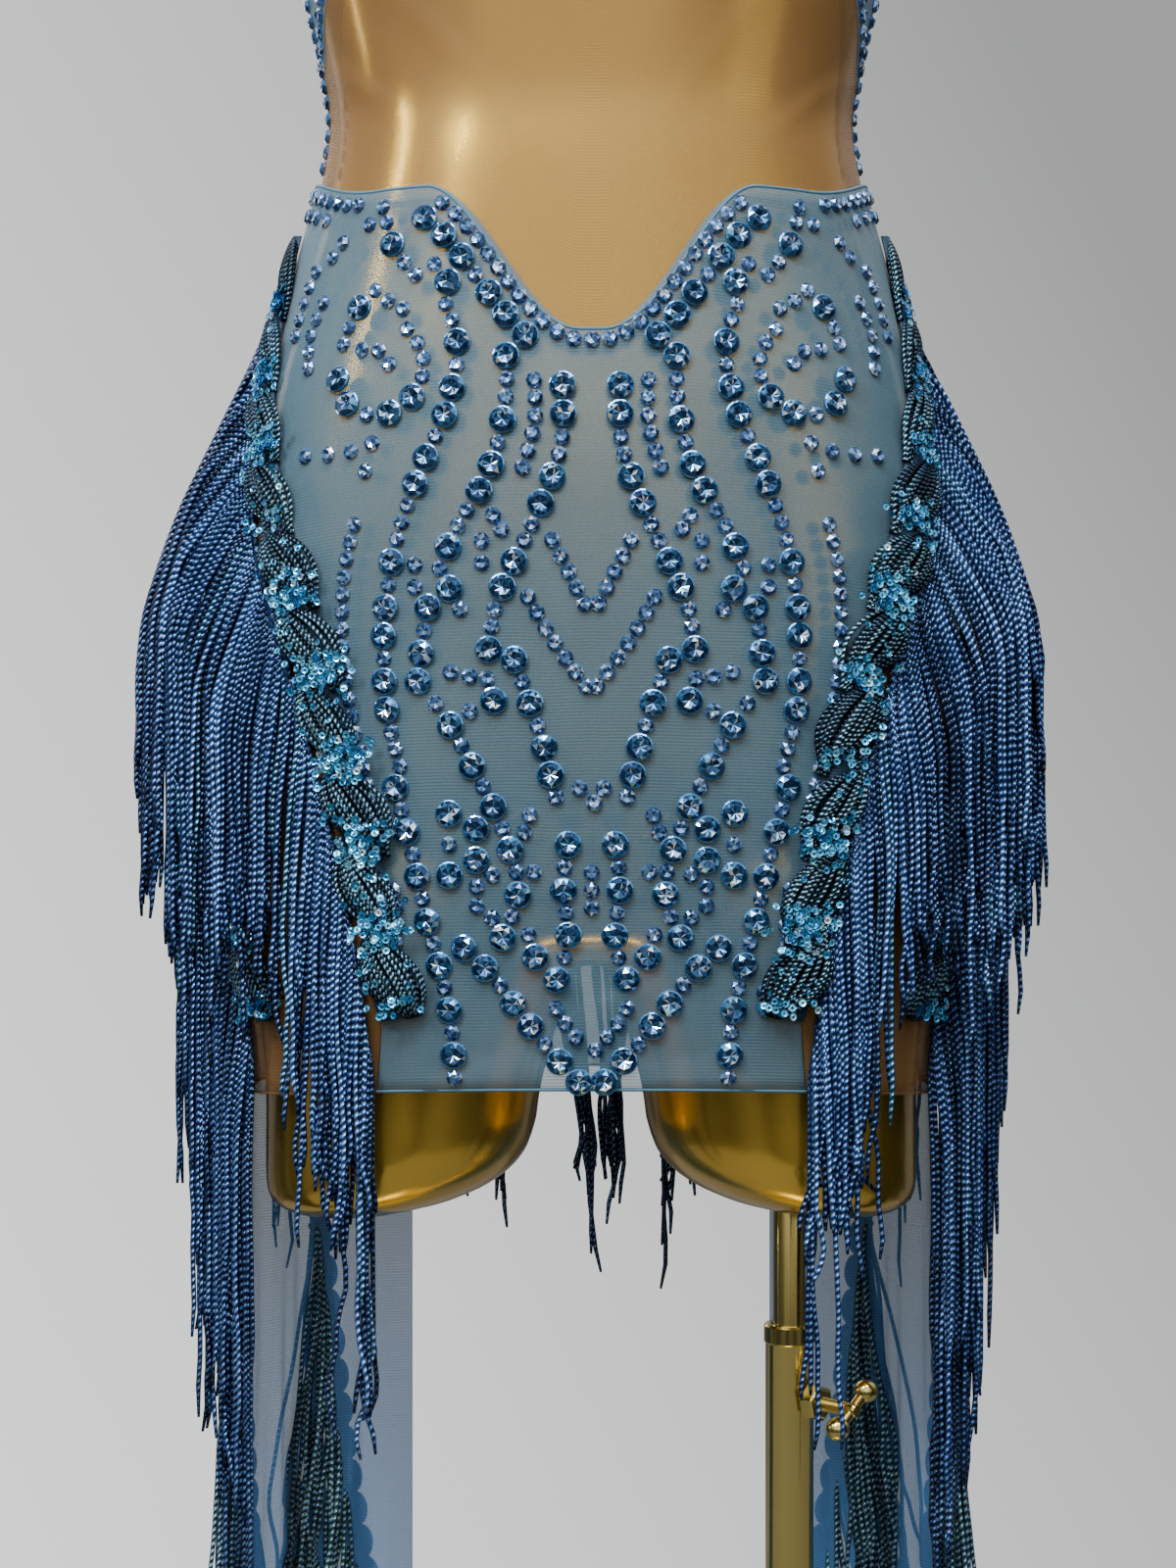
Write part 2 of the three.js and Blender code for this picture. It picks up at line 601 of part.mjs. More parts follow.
// Each fringe is one trim, a band of gathered cord in rounded lobes, with locks of cord that hang from
// its outer edge. path gives its angles and heights from its lower end up; fall, from its own angles,
// how far out its locks hang once they pass over the trims below them.
const FRINGES = [
  {
    name: 'first', lobes: 8, wide: 25, thick: 8, locks: 20, length: 205,
    path: [{ angle: 25.5, z: 696 }, { angle: 29, z: 755 }, { angle: 36.5, z: 840 }, { angle: 44, z: 883 },
      { angle: 54, z: 926 }, { angle: 63, z: 962 }, { angle: 71, z: 1006 }, { angle: 79, z: 1042 }],
    fall: [{ angle: 25, out: 10 }, { angle: 46, out: 12 }, { angle: 56, out: 25 }, { angle: 66, out: 35 },
      { angle: 80, out: 42 }],
  },
  {
    name: 'second', lobes: 7, wide: 23, thick: 7, locks: 16, length: 225,
    path: [{ angle: 61, z: 694 }, { angle: 67, z: 750 }, { angle: 78, z: 845 }, { angle: 92, z: 938 },
      { angle: 108, z: 1010 }],
    fall: [{ angle: 55, out: 10 }, { angle: 84, out: 12 }, { angle: 96, out: 24 }, { angle: 115, out: 30 }],
  },
  {
    name: 'third', lobes: 6, wide: 20, thick: 6, locks: 10, length: 205,
    path: [{ angle: 97, z: 775 }, { angle: 105, z: 860 }, { angle: 114, z: 950 }, { angle: 124, z: 1020 }],
    fall: [{ angle: 90, out: 11 }, { angle: 108, out: 13 }, { angle: 117, out: 28 }, { angle: 128, out: 28 }],
  },
  {
    name: 'fourth', lobes: 5, wide: 20, thick: 6, locks: 10, length: 220,
    path: [{ angle: 119, z: 826 }, { angle: 127, z: 855 }, { angle: 141, z: 893 }, { angle: 156, z: 920 }],
    fall: [{ angle: 105, out: 15 }, { angle: 160, out: 13 }],
  },
];
const BACK_FRINGE = {
  lobes: 5, wide: 20, thick: 6, locks: 8, length: 225,
  path: [{ angle: 160, z: 822 }, { angle: 170, z: 813 }, { angle: 180, z: 810 }, { angle: 190, z: 813 },
    { angle: 200, z: 822 }],
  fall: [{ angle: 150, out: 11 }, { angle: 210, out: 11 }],
};
const LOCK_WIDE = 7;
const LOCK_DEEP = 4.5;
const LAYER = 6.2; // locks hang in two layers, this far apart

const DEGREE = 2.4; // a path is measured with this many mm to a degree, as round the hips

function pathOf(path) {
  const points = path.map((p) => new THREE.Vector3(p.angle * DEGREE, p.z, 0));
  return new THREE.CatmullRomCurve3(points, false, 'centripetal');
}
const onPath = (curve, t) => {
  const p = curve.getPointAt(THREE.MathUtils.clamp(t, 0, 1));
  return { angle: p.x / DEGREE, z: p.y };
};

// The band of a trim: at each station five points taken from the surface and moved out, wider and
// thicker in the middle of each lobe than where two lobes meet.
function trimBand(fringe, side, place, base) {
  const PINCH = 0.72;
  const SHOULDER = 0.8; // the band's section is a low roof with shoulders
  const NEAR = 0.02;
  const curve = pathOf(fringe.path);
  const stations = fringe.lobes * 2 + 1;
  const rings = [...Array(stations)].map((_, i) => {
    const t = i / (stations - 1);
    const full = i % 2 ? 1 : PINCH;
    const half = (fringe.wide * full) / 2;
    const thick = fringe.thick * full;
    const at = onPath(curve, t);
    const before = onPath(curve, t - NEAR);
    const after = onPath(curve, t + NEAR);
    const step = (from, to) => place(side, to.angle, to.z, base).sub(place(side, from.angle, from.z, base));
    const along = step(before, after).normalize();
    const round = step({ angle: at.angle - 0.5, z: at.z }, { angle: at.angle + 0.5, z: at.z });
    const up = step({ angle: at.angle, z: at.z - 0.5 }, { angle: at.angle, z: at.z + 0.5 });
    const normal = new THREE.Vector3().crossVectors(round, up).normalize();
    const aside = new THREE.Vector3().crossVectors(normal, along).normalize();
    const shift = (distance) => ({
      angle: at.angle + (distance * aside.dot(round)) / round.lengthSq(),
      z: at.z + (distance * aside.dot(up)) / up.lengthSq(),
    });
    const point = (distance, out) => {
      const to = shift(distance);
      return place(side, to.angle, to.z, base + out);
    };
    return [point(-half, 0), point(half, 0),
      point(half * SHOULDER, thick * 0.7), point(0, thick), point(-half * SHOULDER, thick * 0.7)];
  });
  return loft(rings);
}

// A lock of cord: a three-sided tapering rod through the given points, with level sections.
function lock(points, outward) {
  const aside = new THREE.Vector3(-outward.y, outward.x, 0);
  return loft(points.map((p, i) => {
    const taper = i === points.length - 1 ? 0.7 : 1;
    const wide = (LOCK_WIDE / 2) * taper;
    const deep = (LOCK_DEEP / 2) * taper;
    return [p.clone().addScaledVector(aside, wide).addScaledVector(outward, -deep),
      p.clone().addScaledVector(aside, -wide).addScaledVector(outward, -deep),
      p.clone().addScaledVector(outward, deep)];
  }));
}

// A point on the skirt, for a trim laid on it.
const onSkirt = (side, angle, z, out) => bodyPoint(side * angle, z, out);

// Where a hanging lock is at a height: on the fullest level between there and its root.
function hanging(side, angle, z, root, out) {
  const fullest = z > HIP ? z : Math.min(HIP, root);
  const p = bodyPoint(side * angle, Math.max(fullest, Math.min(z, root)), out);
  return new THREE.Vector3(p.x, p.y, z);
}

// How far along a path it reaches an angle, by halving.
function shareAt(curve, angle) {
  let low = 0;
  let high = 1;
  for (let i = 0; i < 24; i++) {
    const middle = (low + high) / 2;
    if (onPath(curve, middle).angle < angle) low = middle;
    else high = middle;
  }
  return (low + high) / 2;
}

// The locks leave the trim at almost even steps along it, and hang at even steps round the body.
function bodyFringe(fringe, side) {
  const TO_EVEN = 0.35; // the roots are moved this much towards even steps along the trim
  const SETTLED = 55; // how far below its root a lock has taken its place among the others
  const curve = pathOf(fringe.path);
  const parts = [trimBand(fringe, side, onSkirt, TRIM)];
  const first = fringe.path[0].angle;
  const last = fringe.path[fringe.path.length - 1].angle;
  const deep = TRIM + fringe.thick * 0.5;
  for (let k = 0; k < fringe.locks; k++) {
    const share = (k + 0.5) / fringe.locks;
    const angle = mix(first, last, share);
    const root = onPath(curve, mix(shareAt(curve, angle), share, TO_EVEN));
    const out = column(fringe.fall, 'out', 'angle', angle) + (k % 2) * LAYER;
    const uneven = 1 + 0.06 * Math.sin(k * 2.4);
    const end = root.z - fringe.length * uneven;
    const drops = root.z > HIP + 90 ? [20, 60, root.z - HIP] : [20, 60];
    const points = [onSkirt(side, root.angle, root.z, deep)];
    for (const drop of drops) {
      const z = root.z - drop;
      const turn = mix(root.angle, angle, ease(drop, 0, SETTLED));
      points.push(hanging(side, turn, z, root.z, mix(deep + 2, out, ease(drop, 5, SETTLED))));
    }
    points.push(hanging(side, angle, end, root.z, out));
    const { normal } = skinFrame(side * angle, Math.min(root.z, HIP));
    parts.push(lock(points, new THREE.Vector3(normal.x, normal.y, 0).normalize()));
  }
  return wasm.Manifold.union(parts);
}

for (const fringe of FRINGES) {
  add(`fringe_${fringe.name}_left`, bodyFringe(fringe, 1), fringeCord);
  add(`fringe_${fringe.name}_right`, bodyFringe(fringe, -1), fringeCord);
}
add('fringe_back', bodyFringe(BACK_FRINGE, 1), fringeCord);

// Fringe on the trains: here a path's angle is the share of the train's width, in hundredths.
const TRAIN_FRINGES = [
  { name: 'side', lobes: 4, wide: 14, thick: 4.5, locks: 6, length: 215,
    path: [{ angle: 6, z: 545 }, { angle: 20, z: 430 }, { angle: 42, z: 310 }] },
  { name: 'rear', lobes: 4, wide: 14, thick: 4.5, locks: 6, length: 215,
    path: [{ angle: 58, z: 600 }, { angle: 72, z: 470 }, { angle: 94, z: 330 }] },
];
const TRAIN_TRIM = TRAIN + CLOTH + 0.6;
const LOCK_DROPS = [0, 18, 60]; // a train's lock comes away from its trim over these drops
const LOCK_CLEAR = [0, 4, 8, 8];

// A point on the crests of the train's folds, for a trim laid on them.
function onTrain(side, hundredths, z, out) {
  const share = hundredths / 100;
  return trainSide(side, share, z, out + foldDepth(share, z));
}

function trainFringe(fringe, side) {
  const curve = pathOf(fringe.path);
  const parts = [trimBand(fringe, side, onTrain, TRAIN_TRIM)];
  for (let k = 0; k < fringe.locks; k++) {
    const share = (k + 0.5) / fringe.locks;
    const root = onPath(curve, share);
    const foot = Math.max(root.z - fringe.length, TRAIN_HEM - 20);
    const levels = [...LOCK_DROPS.map((drop) => root.z - drop), foot];
    const points = levels.map((z, i) => {
      const away = i === 0 ? fringe.thick / 2 : LOCK_CLEAR[i] + fringe.thick;
      return onTrain(side, root.angle, z, TRAIN_TRIM + away);
    });
    const { normal } = skinFrame(side * trainAngle(root.angle / 100), HIP);
    parts.push(lock(points, new THREE.Vector3(normal.x, normal.y, 0).normalize()));
  }
  return wasm.Manifold.union(parts);
}

for (const fringe of TRAIN_FRINGES) {
  add(`train_fringe_${fringe.name}_left`, trainFringe(fringe, 1), fringeCord);
  add(`train_fringe_${fringe.name}_right`, trainFringe(fringe, -1), fringeCord);
}

export default dress;
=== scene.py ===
# %% [markdown]
# # A fringed stage dress on its gold dress form
#
# The packed model gives every piece of the dress its place. This script dresses it: thin mesh cloth
# over a polished form, faceted stones, twisted cord fringe, sequins and a brass-plated stand. All
# shapes are worked out in millimetres from the same figure that the solids were made on, and are
# turned into metres where a mesh is made.

# %% Load the frame
import json
import math

import bpy
import numpy as np
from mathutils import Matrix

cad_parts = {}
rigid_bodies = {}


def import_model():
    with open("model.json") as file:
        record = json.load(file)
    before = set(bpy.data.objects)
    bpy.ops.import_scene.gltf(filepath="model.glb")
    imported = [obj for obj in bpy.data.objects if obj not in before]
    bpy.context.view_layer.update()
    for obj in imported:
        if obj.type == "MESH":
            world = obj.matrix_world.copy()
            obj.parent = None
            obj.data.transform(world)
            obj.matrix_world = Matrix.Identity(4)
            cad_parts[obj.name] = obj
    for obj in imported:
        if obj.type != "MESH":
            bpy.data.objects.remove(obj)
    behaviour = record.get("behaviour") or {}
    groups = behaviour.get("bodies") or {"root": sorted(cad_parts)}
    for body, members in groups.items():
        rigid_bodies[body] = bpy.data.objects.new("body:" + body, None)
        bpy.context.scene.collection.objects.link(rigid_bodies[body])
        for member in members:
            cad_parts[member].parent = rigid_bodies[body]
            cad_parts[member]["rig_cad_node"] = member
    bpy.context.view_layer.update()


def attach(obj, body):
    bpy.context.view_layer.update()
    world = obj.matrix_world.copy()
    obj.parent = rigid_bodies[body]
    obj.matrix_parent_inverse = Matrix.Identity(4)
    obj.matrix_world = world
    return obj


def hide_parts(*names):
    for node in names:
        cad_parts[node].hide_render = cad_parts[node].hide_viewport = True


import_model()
MM = 0.001

# %% [markdown]
# ## Camera
#
# The view is level, square to the front, and close: it takes in the dress from the waist to the
# trains. A long lens or a short one could frame the same height. This one stands 1.25 m away,
# because the near skirt then looks as much larger than the far trains as it does in life.

# %% Camera
CAMERA_X = -1.5
FRAME_CENTRE = 797.5  # height of the picture's middle
FRAME_HIGH = 720.0  # how much of the figure's plane the picture's long side holds
AWAY = 1250.0
SENSOR = 36.0

camera_data = bpy.data.cameras.new("camera")
camera_data.sensor_fit = "VERTICAL"
camera_data.sensor_height = SENSOR
camera_data.lens = SENSOR * AWAY / FRAME_HIGH
camera = bpy.data.objects.new("camera", camera_data)
camera.location = (CAMERA_X * MM, -AWAY * MM, FRAME_CENTRE * MM)
camera.rotation_euler = (math.pi / 2, 0, 0)
bpy.context.scene.collection.objects.link(camera)
bpy.context.scene.camera = camera
print("lens", round(camera_data.lens, 1), "mm")

# %% [markdown]
# ## The figure
#
# A dress has no shape of its own until something fills it, so every piece is laid on one figure.
# Its levels are half an oval in front and half a deeper or flatter one behind, with corners a
# little squarer than an ellipse's. Columns of sizes with a smooth curve through them are easier
# to correct than a mesh, and any point of the cloth can be asked for by angle, height and distance
# out from the skin.

# %% The figure's sizes
FIGURE = [
    # height, half width, front depth, back depth, squareness
    (600, 149, 79, 82, 2.9), (660, 150, 81, 86, 2.9), (720, 155, 85, 97, 2.7), (780, 160, 89, 106, 2.5),
    (842, 163, 92, 110, 2.4), (900, 160, 94, 104, 2.35), (960, 149, 94, 92, 2.3), (1020, 133, 89, 80, 2.3),
    (1067, 121, 85, 74, 2.3), (1100, 117, 82, 73, 2.3), (1157, 128, 85, 78, 2.3), (1200, 137, 92, 84, 2.3),
    (1250, 143, 98, 89, 2.3), (1300, 148, 92, 91, 2.3), (1350, 160, 80, 88, 2.3), (1390, 166, 68, 80, 2.25),
    (1420, 148, 58, 68, 2.2), (1442, 98, 51, 57, 2.1), (1458, 62, 49, 52, 2.0), (1485, 53, 48, 50, 2.0),
    (1520, 52, 47, 49, 2.0),
]
HALF_WIDTH, FRONT, BACK, SQUARE = 1, 2, 3, 4
BUST_Z, BUST_ANGLE = 1248, 30
BUST_SWELL, BUST_HIGH, BUST_WIDE = 17, 40, 19  # how far it stands out, and its half sizes
HIP = 842  # the fullest level


def along(table, column, at):
    """A column of a table at a value of its first column, on a smooth curve through its rows."""
    rows = np.array(sorted(table), float)
    keys, values = rows[:, 0], rows[:, column]
    last = len(keys) - 1
    at = np.clip(at, keys[0], keys[-1])
    i = np.clip(np.searchsorted(keys, at, side="right") - 1, 0, last - 1)
    low, high = np.maximum(np.arange(last + 1) - 1, 0), np.minimum(np.arange(last + 1) + 1, last)
    slope = (values[high] - values[low]) / (keys[high] - keys[low])
    step = keys[i + 1] - keys[i]
    t = (at - keys[i]) / step
    bend = (2 * t - 3) * t * t
    return (values[i] * (1 + bend) - values[i + 1] * bend
            + step * t * (1 - t) * (slope[i] * (1 - t) - slope[i + 1] * t))


def ease(value, low, high):
    """From 0 at low to 1 at high, with a soft start and end."""
    t = np.clip((np.asarray(value, float) - low) / (high - low), 0, 1)
    return t * t * (3 - 2 * t)


def mix(a, b, share):
    """The value a share of the way from a to b."""
    return a + (b - a) * share


def signed_power(value, power):
    """A power that keeps the value's sign."""
    return np.sign(value) * np.abs(value) ** power


# %% Points of the figure
def skin(angle, z):
    """Points of the figure, in mm, for angles round it and heights."""
    angle, z = np.broadcast_arrays(np.asarray(angle, float), np.asarray(z, float))
    turn = np.radians(angle)
    power = 2 / along(FIGURE, SQUARE, z)
    depth = np.where(np.cos(turn) >= 0, along(FIGURE, FRONT, z), along(FIGURE, BACK, z))
    from_bust = ((z - BUST_Z) / BUST_HIGH) ** 2 + ((np.abs(angle) - BUST_ANGLE) / BUST_WIDE) ** 2
    swell = np.where(np.cos(turn) > 0, BUST_SWELL * np.exp(-from_bust), 0)
    x = along(FIGURE, HALF_WIDTH, z) * signed_power(np.sin(turn), power)
    y = -depth * signed_power(np.cos(turn), power) - swell
    return np.stack([x, y, z], axis=-1)


def unit(vectors):
    """The same directions, each one long."""
    return vectors / np.maximum(np.linalg.norm(vectors, axis=-1, keepdims=True), 1e-9)


def skin_frame(angle, z):
    """The surface's two directions and its outward normal."""
    step = 0.5
    around = (skin(angle + step, z) - skin(angle - step, z)) / (2 * step)
    up = (skin(angle, z + step) - skin(angle, z - step)) / (2 * step)
    return around, up, unit(np.cross(around, up))


def body(angle, z, out=0.0):
    """Points of the figure moved out along its normal."""
    angle, z, out = np.broadcast_arrays(*(np.asarray(value, float) for value in (angle, z, out)))
    return skin(angle, z) + skin_frame(angle, z)[2] * out[..., None]


def angle_at(x, z):
    """The angle at which the figure's front is x from its centre line."""
    share = np.minimum(np.abs(x) / along(FIGURE, HALF_WIDTH, z), 1)
    return np.sign(x) * np.degrees(np.arcsin(share ** (along(FIGURE, SQUARE, z) / 2)))


print("hips", round(float(2 * along(FIGURE, HALF_WIDTH, HIP))), "mm wide")

# %% [markdown]
# ## Making meshes
#
# Everything here is a sheet, a tube or a small stone, and there are thousands of the last two.
# Adding them one by one with operators would take minutes, so each family is worked out as one
# array of points and becomes one mesh. A number for each point, called its tone, lets one
# material give every cord or stone a shade of its own.

# %% One mesh from points
def mesh_object(name, points, faces, uv=None, tones=None, face_tones=None, smooth=True):
    """A mesh from points in mm; uv has a row for each corner of each face, in order."""
    mesh = bpy.data.meshes.new(name)
    places = np.asarray(points, float).reshape(-1, 3) * MM
    mesh.from_pydata(places.tolist(), [], faces.tolist() if isinstance(faces, np.ndarray) else faces)
    if uv is not None:
        layer = mesh.uv_layers.new(name="UVMap")
        layer.data.foreach_set("uv", np.asarray(uv, np.float32).ravel())
    for domain, values in (("POINT", tones), ("FACE", face_tones)):
        if values is not None:
            layer = mesh.attributes.new("tone", "FLOAT", domain)
            layer.data.foreach_set("value", np.asarray(values, np.float32).ravel())
    mesh.polygons.foreach_set("use_smooth", [smooth] * len(mesh.polygons))
    mesh.update()
    made = bpy.data.objects.new(name, mesh)
    bpy.context.scene.collection.objects.link(made)
    return made


print("lengths are in mm; 1 mm is", MM, "m")


# %% Sheets
def shell(name, outer, inner):
    """A thin sheet from outer and inner points, both [row, column, xyz], with its rim closed.
    Its uv is the distance along and up the cloth, in metres."""
    rows, columns = outer.shape[:2]
    r, c = np.meshgrid(np.arange(rows - 1), np.arange(columns - 1), indexing="ij")
    a, b = r * columns + c, r * columns + c + 1
    front = np.stack([a, b, b + columns, a + columns], axis=-1).reshape(-1, 4)
    back = front[:, ::-1] + rows * columns
    lengths = np.linalg.norm(np.diff(outer, axis=1), axis=-1)
    across = np.concatenate([np.zeros((rows, 1)), np.cumsum(lengths, axis=1)], axis=1)
    across = across - across[:, -1:] / 2
    ups = np.linalg.norm(np.diff(outer, axis=0), axis=-1)
    up = np.concatenate([np.zeros((1, columns)), np.cumsum(ups, axis=0)])
    flat = np.stack([across, up], axis=-1).reshape(-1, 2) * MM
    count = rows * columns
    rim = []
    for row in (0, rows - 1):
        p = row * columns + np.arange(columns - 1)
        quads = np.stack([p + 1, p, p + count, p + 1 + count], axis=-1)
        rim.append(quads if row == 0 else quads[:, ::-1])
    for column in (0, columns - 1):
        p = np.arange(rows - 1) * columns + column
        q = p + columns
        quads = np.stack([p, q, q + count, p + count], axis=-1)
        rim.append(quads if column == 0 else quads[:, ::-1])
    faces = np.concatenate([front, back] + rim)
    uv = np.concatenate([flat, flat])[faces.ravel()]
    points = np.concatenate([outer.reshape(-1, 3), inner.reshape(-1, 3)])
    made = mesh_object(name, points, faces, uv)
    made["area"] = float(np.sum(cell_areas(outer))) * MM * MM
    made["flat"] = [float(across[:, -1].max() * 2 * MM), float(up[-1].max() * MM)]
    return made


def cell_areas(grid):
    """The area of each cell of a grid of points."""
    a, b, c, d = grid[:-1, :-1], grid[:-1, 1:], grid[1:, 1:], grid[1:, :-1]
    return np.linalg.norm(np.cross(c - a, d - b), axis=-1) / 2


square = np.array([[(0, 0, 0), (10, 0, 0)], [(0, 0, 10), (10, 0, 10)]], float)
print("a square of 10 mm measures", float(cell_areas(square)[0, 0]), "mm2")

# %% Cords
TWIST_PITCH = 3.2
PITCH_SPREAD = 0.16
GOLDEN = 0.618034  # steps of this share of a whole never line up


def tubes(name, paths, radius, outward, tones, sides, pitch=TWIST_PITCH, tip=0.55):
    """Cords as one mesh, from paths [cord, step, xyz] in mm. outward gives each cord a direction to
    measure its turn from, and tip is how much of the radius is left at its end. uv.x is the share of
    a turn round the cord, and uv.y counts the twists along it."""
    count, steps = paths.shape[:2]
    tangent = unit(np.gradient(paths, axis=1))
    if outward.ndim == 2:
        outward = outward[:, None, :]
    outward = np.broadcast_to(outward, paths.shape)
    aside = unit(np.cross(tangent, outward))
    upright = np.cross(aside, tangent)
    turn = 2 * np.pi * np.arange(sides) / sides
    radius = np.full((count, steps), radius, float)
    radius[:, -1] *= tip
    ring = (np.cos(turn)[None, None, :, None] * aside[:, :, None, :]
            + np.sin(turn)[None, None, :, None] * upright[:, :, None, :])
    points = paths[:, :, None, :] + radius[:, :, None, None] * ring
    numbers = [np.arange(number) for number in (count, steps - 1, sides)]
    cord, step, side = np.meshgrid(*numbers, indexing="ij")
    base = cord * steps * sides + step * sides
    here, beside = base + side, base + (side + 1) % sides
    quads = np.stack([here, beside, beside + sides, here + sides], axis=-1).reshape(-1, 4)
    steps_long = np.linalg.norm(np.diff(paths, axis=1), axis=-1)
    length = np.concatenate([np.zeros((count, 1)), np.cumsum(steps_long, axis=1)], axis=1)
    own = np.arange(count)[:, None] * GOLDEN % 1  # no two neighbours' beads line up
    twists = length / (pitch * (1 - PITCH_SPREAD / 2 + PITCH_SPREAD * own)) + own
    v0, v1 = twists[cord, step], twists[cord, step + 1]
    u0, u1 = side / sides, (side + 1) / sides
    uv = np.stack([np.stack([u0, v0], -1), np.stack([u1, v0], -1), np.stack([u1, v1], -1),
                   np.stack([u0, v1], -1)], axis=-2).reshape(-1, 2)
    first = np.arange(count)[:, None] * steps * sides + np.arange(sides)[None, ::-1]
    final = first[:, ::-1] + (steps - 1) * sides
    faces = quads.tolist() + first.tolist() + final.tolist()
    caps = np.zeros((2 * count * sides, 2))
    return mesh_object(name, points, faces, np.concatenate([uv, caps]),
                       tones=np.repeat(tones, steps * sides))


print("a cord's strands cross every", TWIST_PITCH, "mm")


# %% Lofts
def loft(rings, name):
    """A closed tube of rings [ring, point, xyz] with both ends capped."""
    count, sides = rings.shape[:2]
    faces = []
    for ring in range(count - 1):
        for i in range(sides):
            j = (i + 1) % sides
            faces.append((ring * sides + i, ring * sides + j, (ring + 1) * sides + j, (ring + 1) * sides + i))
    faces.append(tuple(range(sides))[::-1])
    faces.append(tuple(range((count - 1) * sides, count * sides)))
    return mesh_object(name, rings, faces)


print("sheets, cords, lofts: mesh helpers ready")

# %% [markdown]
# ## Shader maths
#
# Most finishes here are sums and products: a rib is a sine of a height, a twist is a sine of a
# length plus a turn. Wiring Math nodes by hand hides that. A small class that holds one socket and
# knows how to add, subtract and multiply lets a material be written as the sum that it is.

# %% A socket that does sums
class Value:
    """One output socket of a node tree, with the usual operators."""

    def __init__(self, tree, socket=None):
        self.tree = tree
        self.socket = socket

    def node(self, kind, settings=None, inputs=None, out=0):
        """Adds a node: its settings first, then the values or links of its sockets."""
        made = self.tree.nodes.new(kind)
        for name, setting in (settings or {}).items():
            if name == "stops":
                while len(made.color_ramp.elements) < len(setting):
                    made.color_ramp.elements.new(0.5)
                for element, (at, color) in zip(made.color_ramp.elements, setting):
                    element.position = at
                    element.color = (*color, 1)
            else:
                setattr(made, name, setting)
        for key, value in (inputs or {}).items():
            if isinstance(value, Value):
                self.tree.links.new(value.socket, made.inputs[key])
            else:
                made.inputs[key].default_value = value
        return Value(self.tree, made.outputs[out])

    def math(self, operation, a, b=0.0):
        return self.node("ShaderNodeMath", {"operation": operation}, {0: a, 1: b})

    def __add__(self, other):
        return self.math("ADD", self, other)

    def __sub__(self, other):
        return self.math("SUBTRACT", self, other)

    def __rsub__(self, other):
        return self.math("SUBTRACT", other, self)

    def __mul__(self, other):
        return self.math("MULTIPLY", self, other)

    def __pow__(self, other):
        return self.math("POWER", self, other)

    __radd__ = __add__
    __rmul__ = __mul__

    def sine(self):
        return self.math("SINE", self)

    def size(self):
        return self.math("ABSOLUTE", self)

    def clamped(self):
        return self.node("ShaderNodeClamp", {}, {"Value": self})

    def blend(self, share, low, high):
        """A colour this share of the way from low to high."""
        sockets = {0: share, 6: colour(low), 7: colour(high)}
        return self.node("ShaderNodeMix", {"data_type": "RGBA"}, sockets, out=2)

    def choose(self, low, high):
        """A colour between low and high, by this value."""
        return self.blend(self, low, high)

    def ramp(self, *stops):
        return self.node("ShaderNodeValToRGB", {"stops": stops}, {"Fac": self})

    def noise(self, scale, detail, where):
        return self.node("ShaderNodeTexNoise", {}, {"Vector": where, "Scale": scale, "Detail": detail})

    def parts(self):
        """The three parts of this vector."""
        split = self.node("ShaderNodeSeparateXYZ", {}, {"Vector": self}).socket.node
        return [Value(self.tree, split.outputs[axis]) for axis in "XYZ"]


def colour(value):
    """A colour with its fourth number, or a link as it is."""
    return value if isinstance(value, Value) or len(value) == 4 else (*value, 1)


print("a value also has:", ", ".join(name for name in vars(Value) if not name.startswith("_")))


# %% What a surface knows of itself
def uv_of(start):
    """The surface's own uv, and its two parts."""
    uv = start.node("ShaderNodeUVMap", {"uv_map": "UVMap"})
    across, up, _ = uv.parts()
    return uv, across, up


def tone_of(start):
    """The number that each cord, stone or sequin has for its shade."""
    return start.node("ShaderNodeAttribute", {"attribute_name": "tone"}, {}, out="Fac")


def material(name, paint):
    """A material whose shader sockets come from paint(start): a dictionary of socket and value."""
    made = bpy.data.materials.new(name)
    made.use_nodes = True
    tree = made.node_tree
    shader = tree.nodes["Principled BSDF"]
    for key, value in paint(Value(tree)).items():
        if isinstance(value, Value):
            tree.links.new(value.socket, shader.inputs[key])
        else:
            shader.inputs[key].default_value = colour(value) if isinstance(value, tuple) else value
    return made


def bump(start, height, strength, distance):
    """A normal from a height; distance is how deep it goes, in metres."""
    return start.node("ShaderNodeBump", {}, {"Height": height, "Strength": strength, "Distance": distance})


def object_place(start):
    return start.node("ShaderNodeTexCoord", {}, {}, out="Object")


def edge_on(start):
    """0 where the surface faces the eye, and 1 where it is seen edge on."""
    return start.node("ShaderNodeLayerWeight", {}, {"Blend": 0.5}, out="Facing")


print("shader helpers ready")

# %% [markdown]
# ## Finishes
#
# The form is a moulded shell with a metallic gold lacquer, glossy with a faint orange peel. The
# stand is plated, so it is sharper. The cloth is stretch mesh: fine level ribs, part see-through,
# so what lies behind tints it. A real weave of threads would need millions of faces, and at this
# distance ribs in the colour, the cover and the bump say the same.

# %% Gold finishes
def gold_lacquer(start):
    place = object_place(start)
    cloudy = start.noise(6.0, 3.0, place)
    peel = start.noise(420.0, 2.0, place)
    return {
        "Base Color": cloudy.choose((0.62, 0.39, 0.045), (0.80, 0.52, 0.07)),
        "Metallic": 0.92,
        "Roughness": 0.17 + cloudy * 0.08,
        "Coat Weight": 0.5,
        "Coat Roughness": 0.08,
        "Normal": bump(start, peel, 0.05, 0.0004),
    }


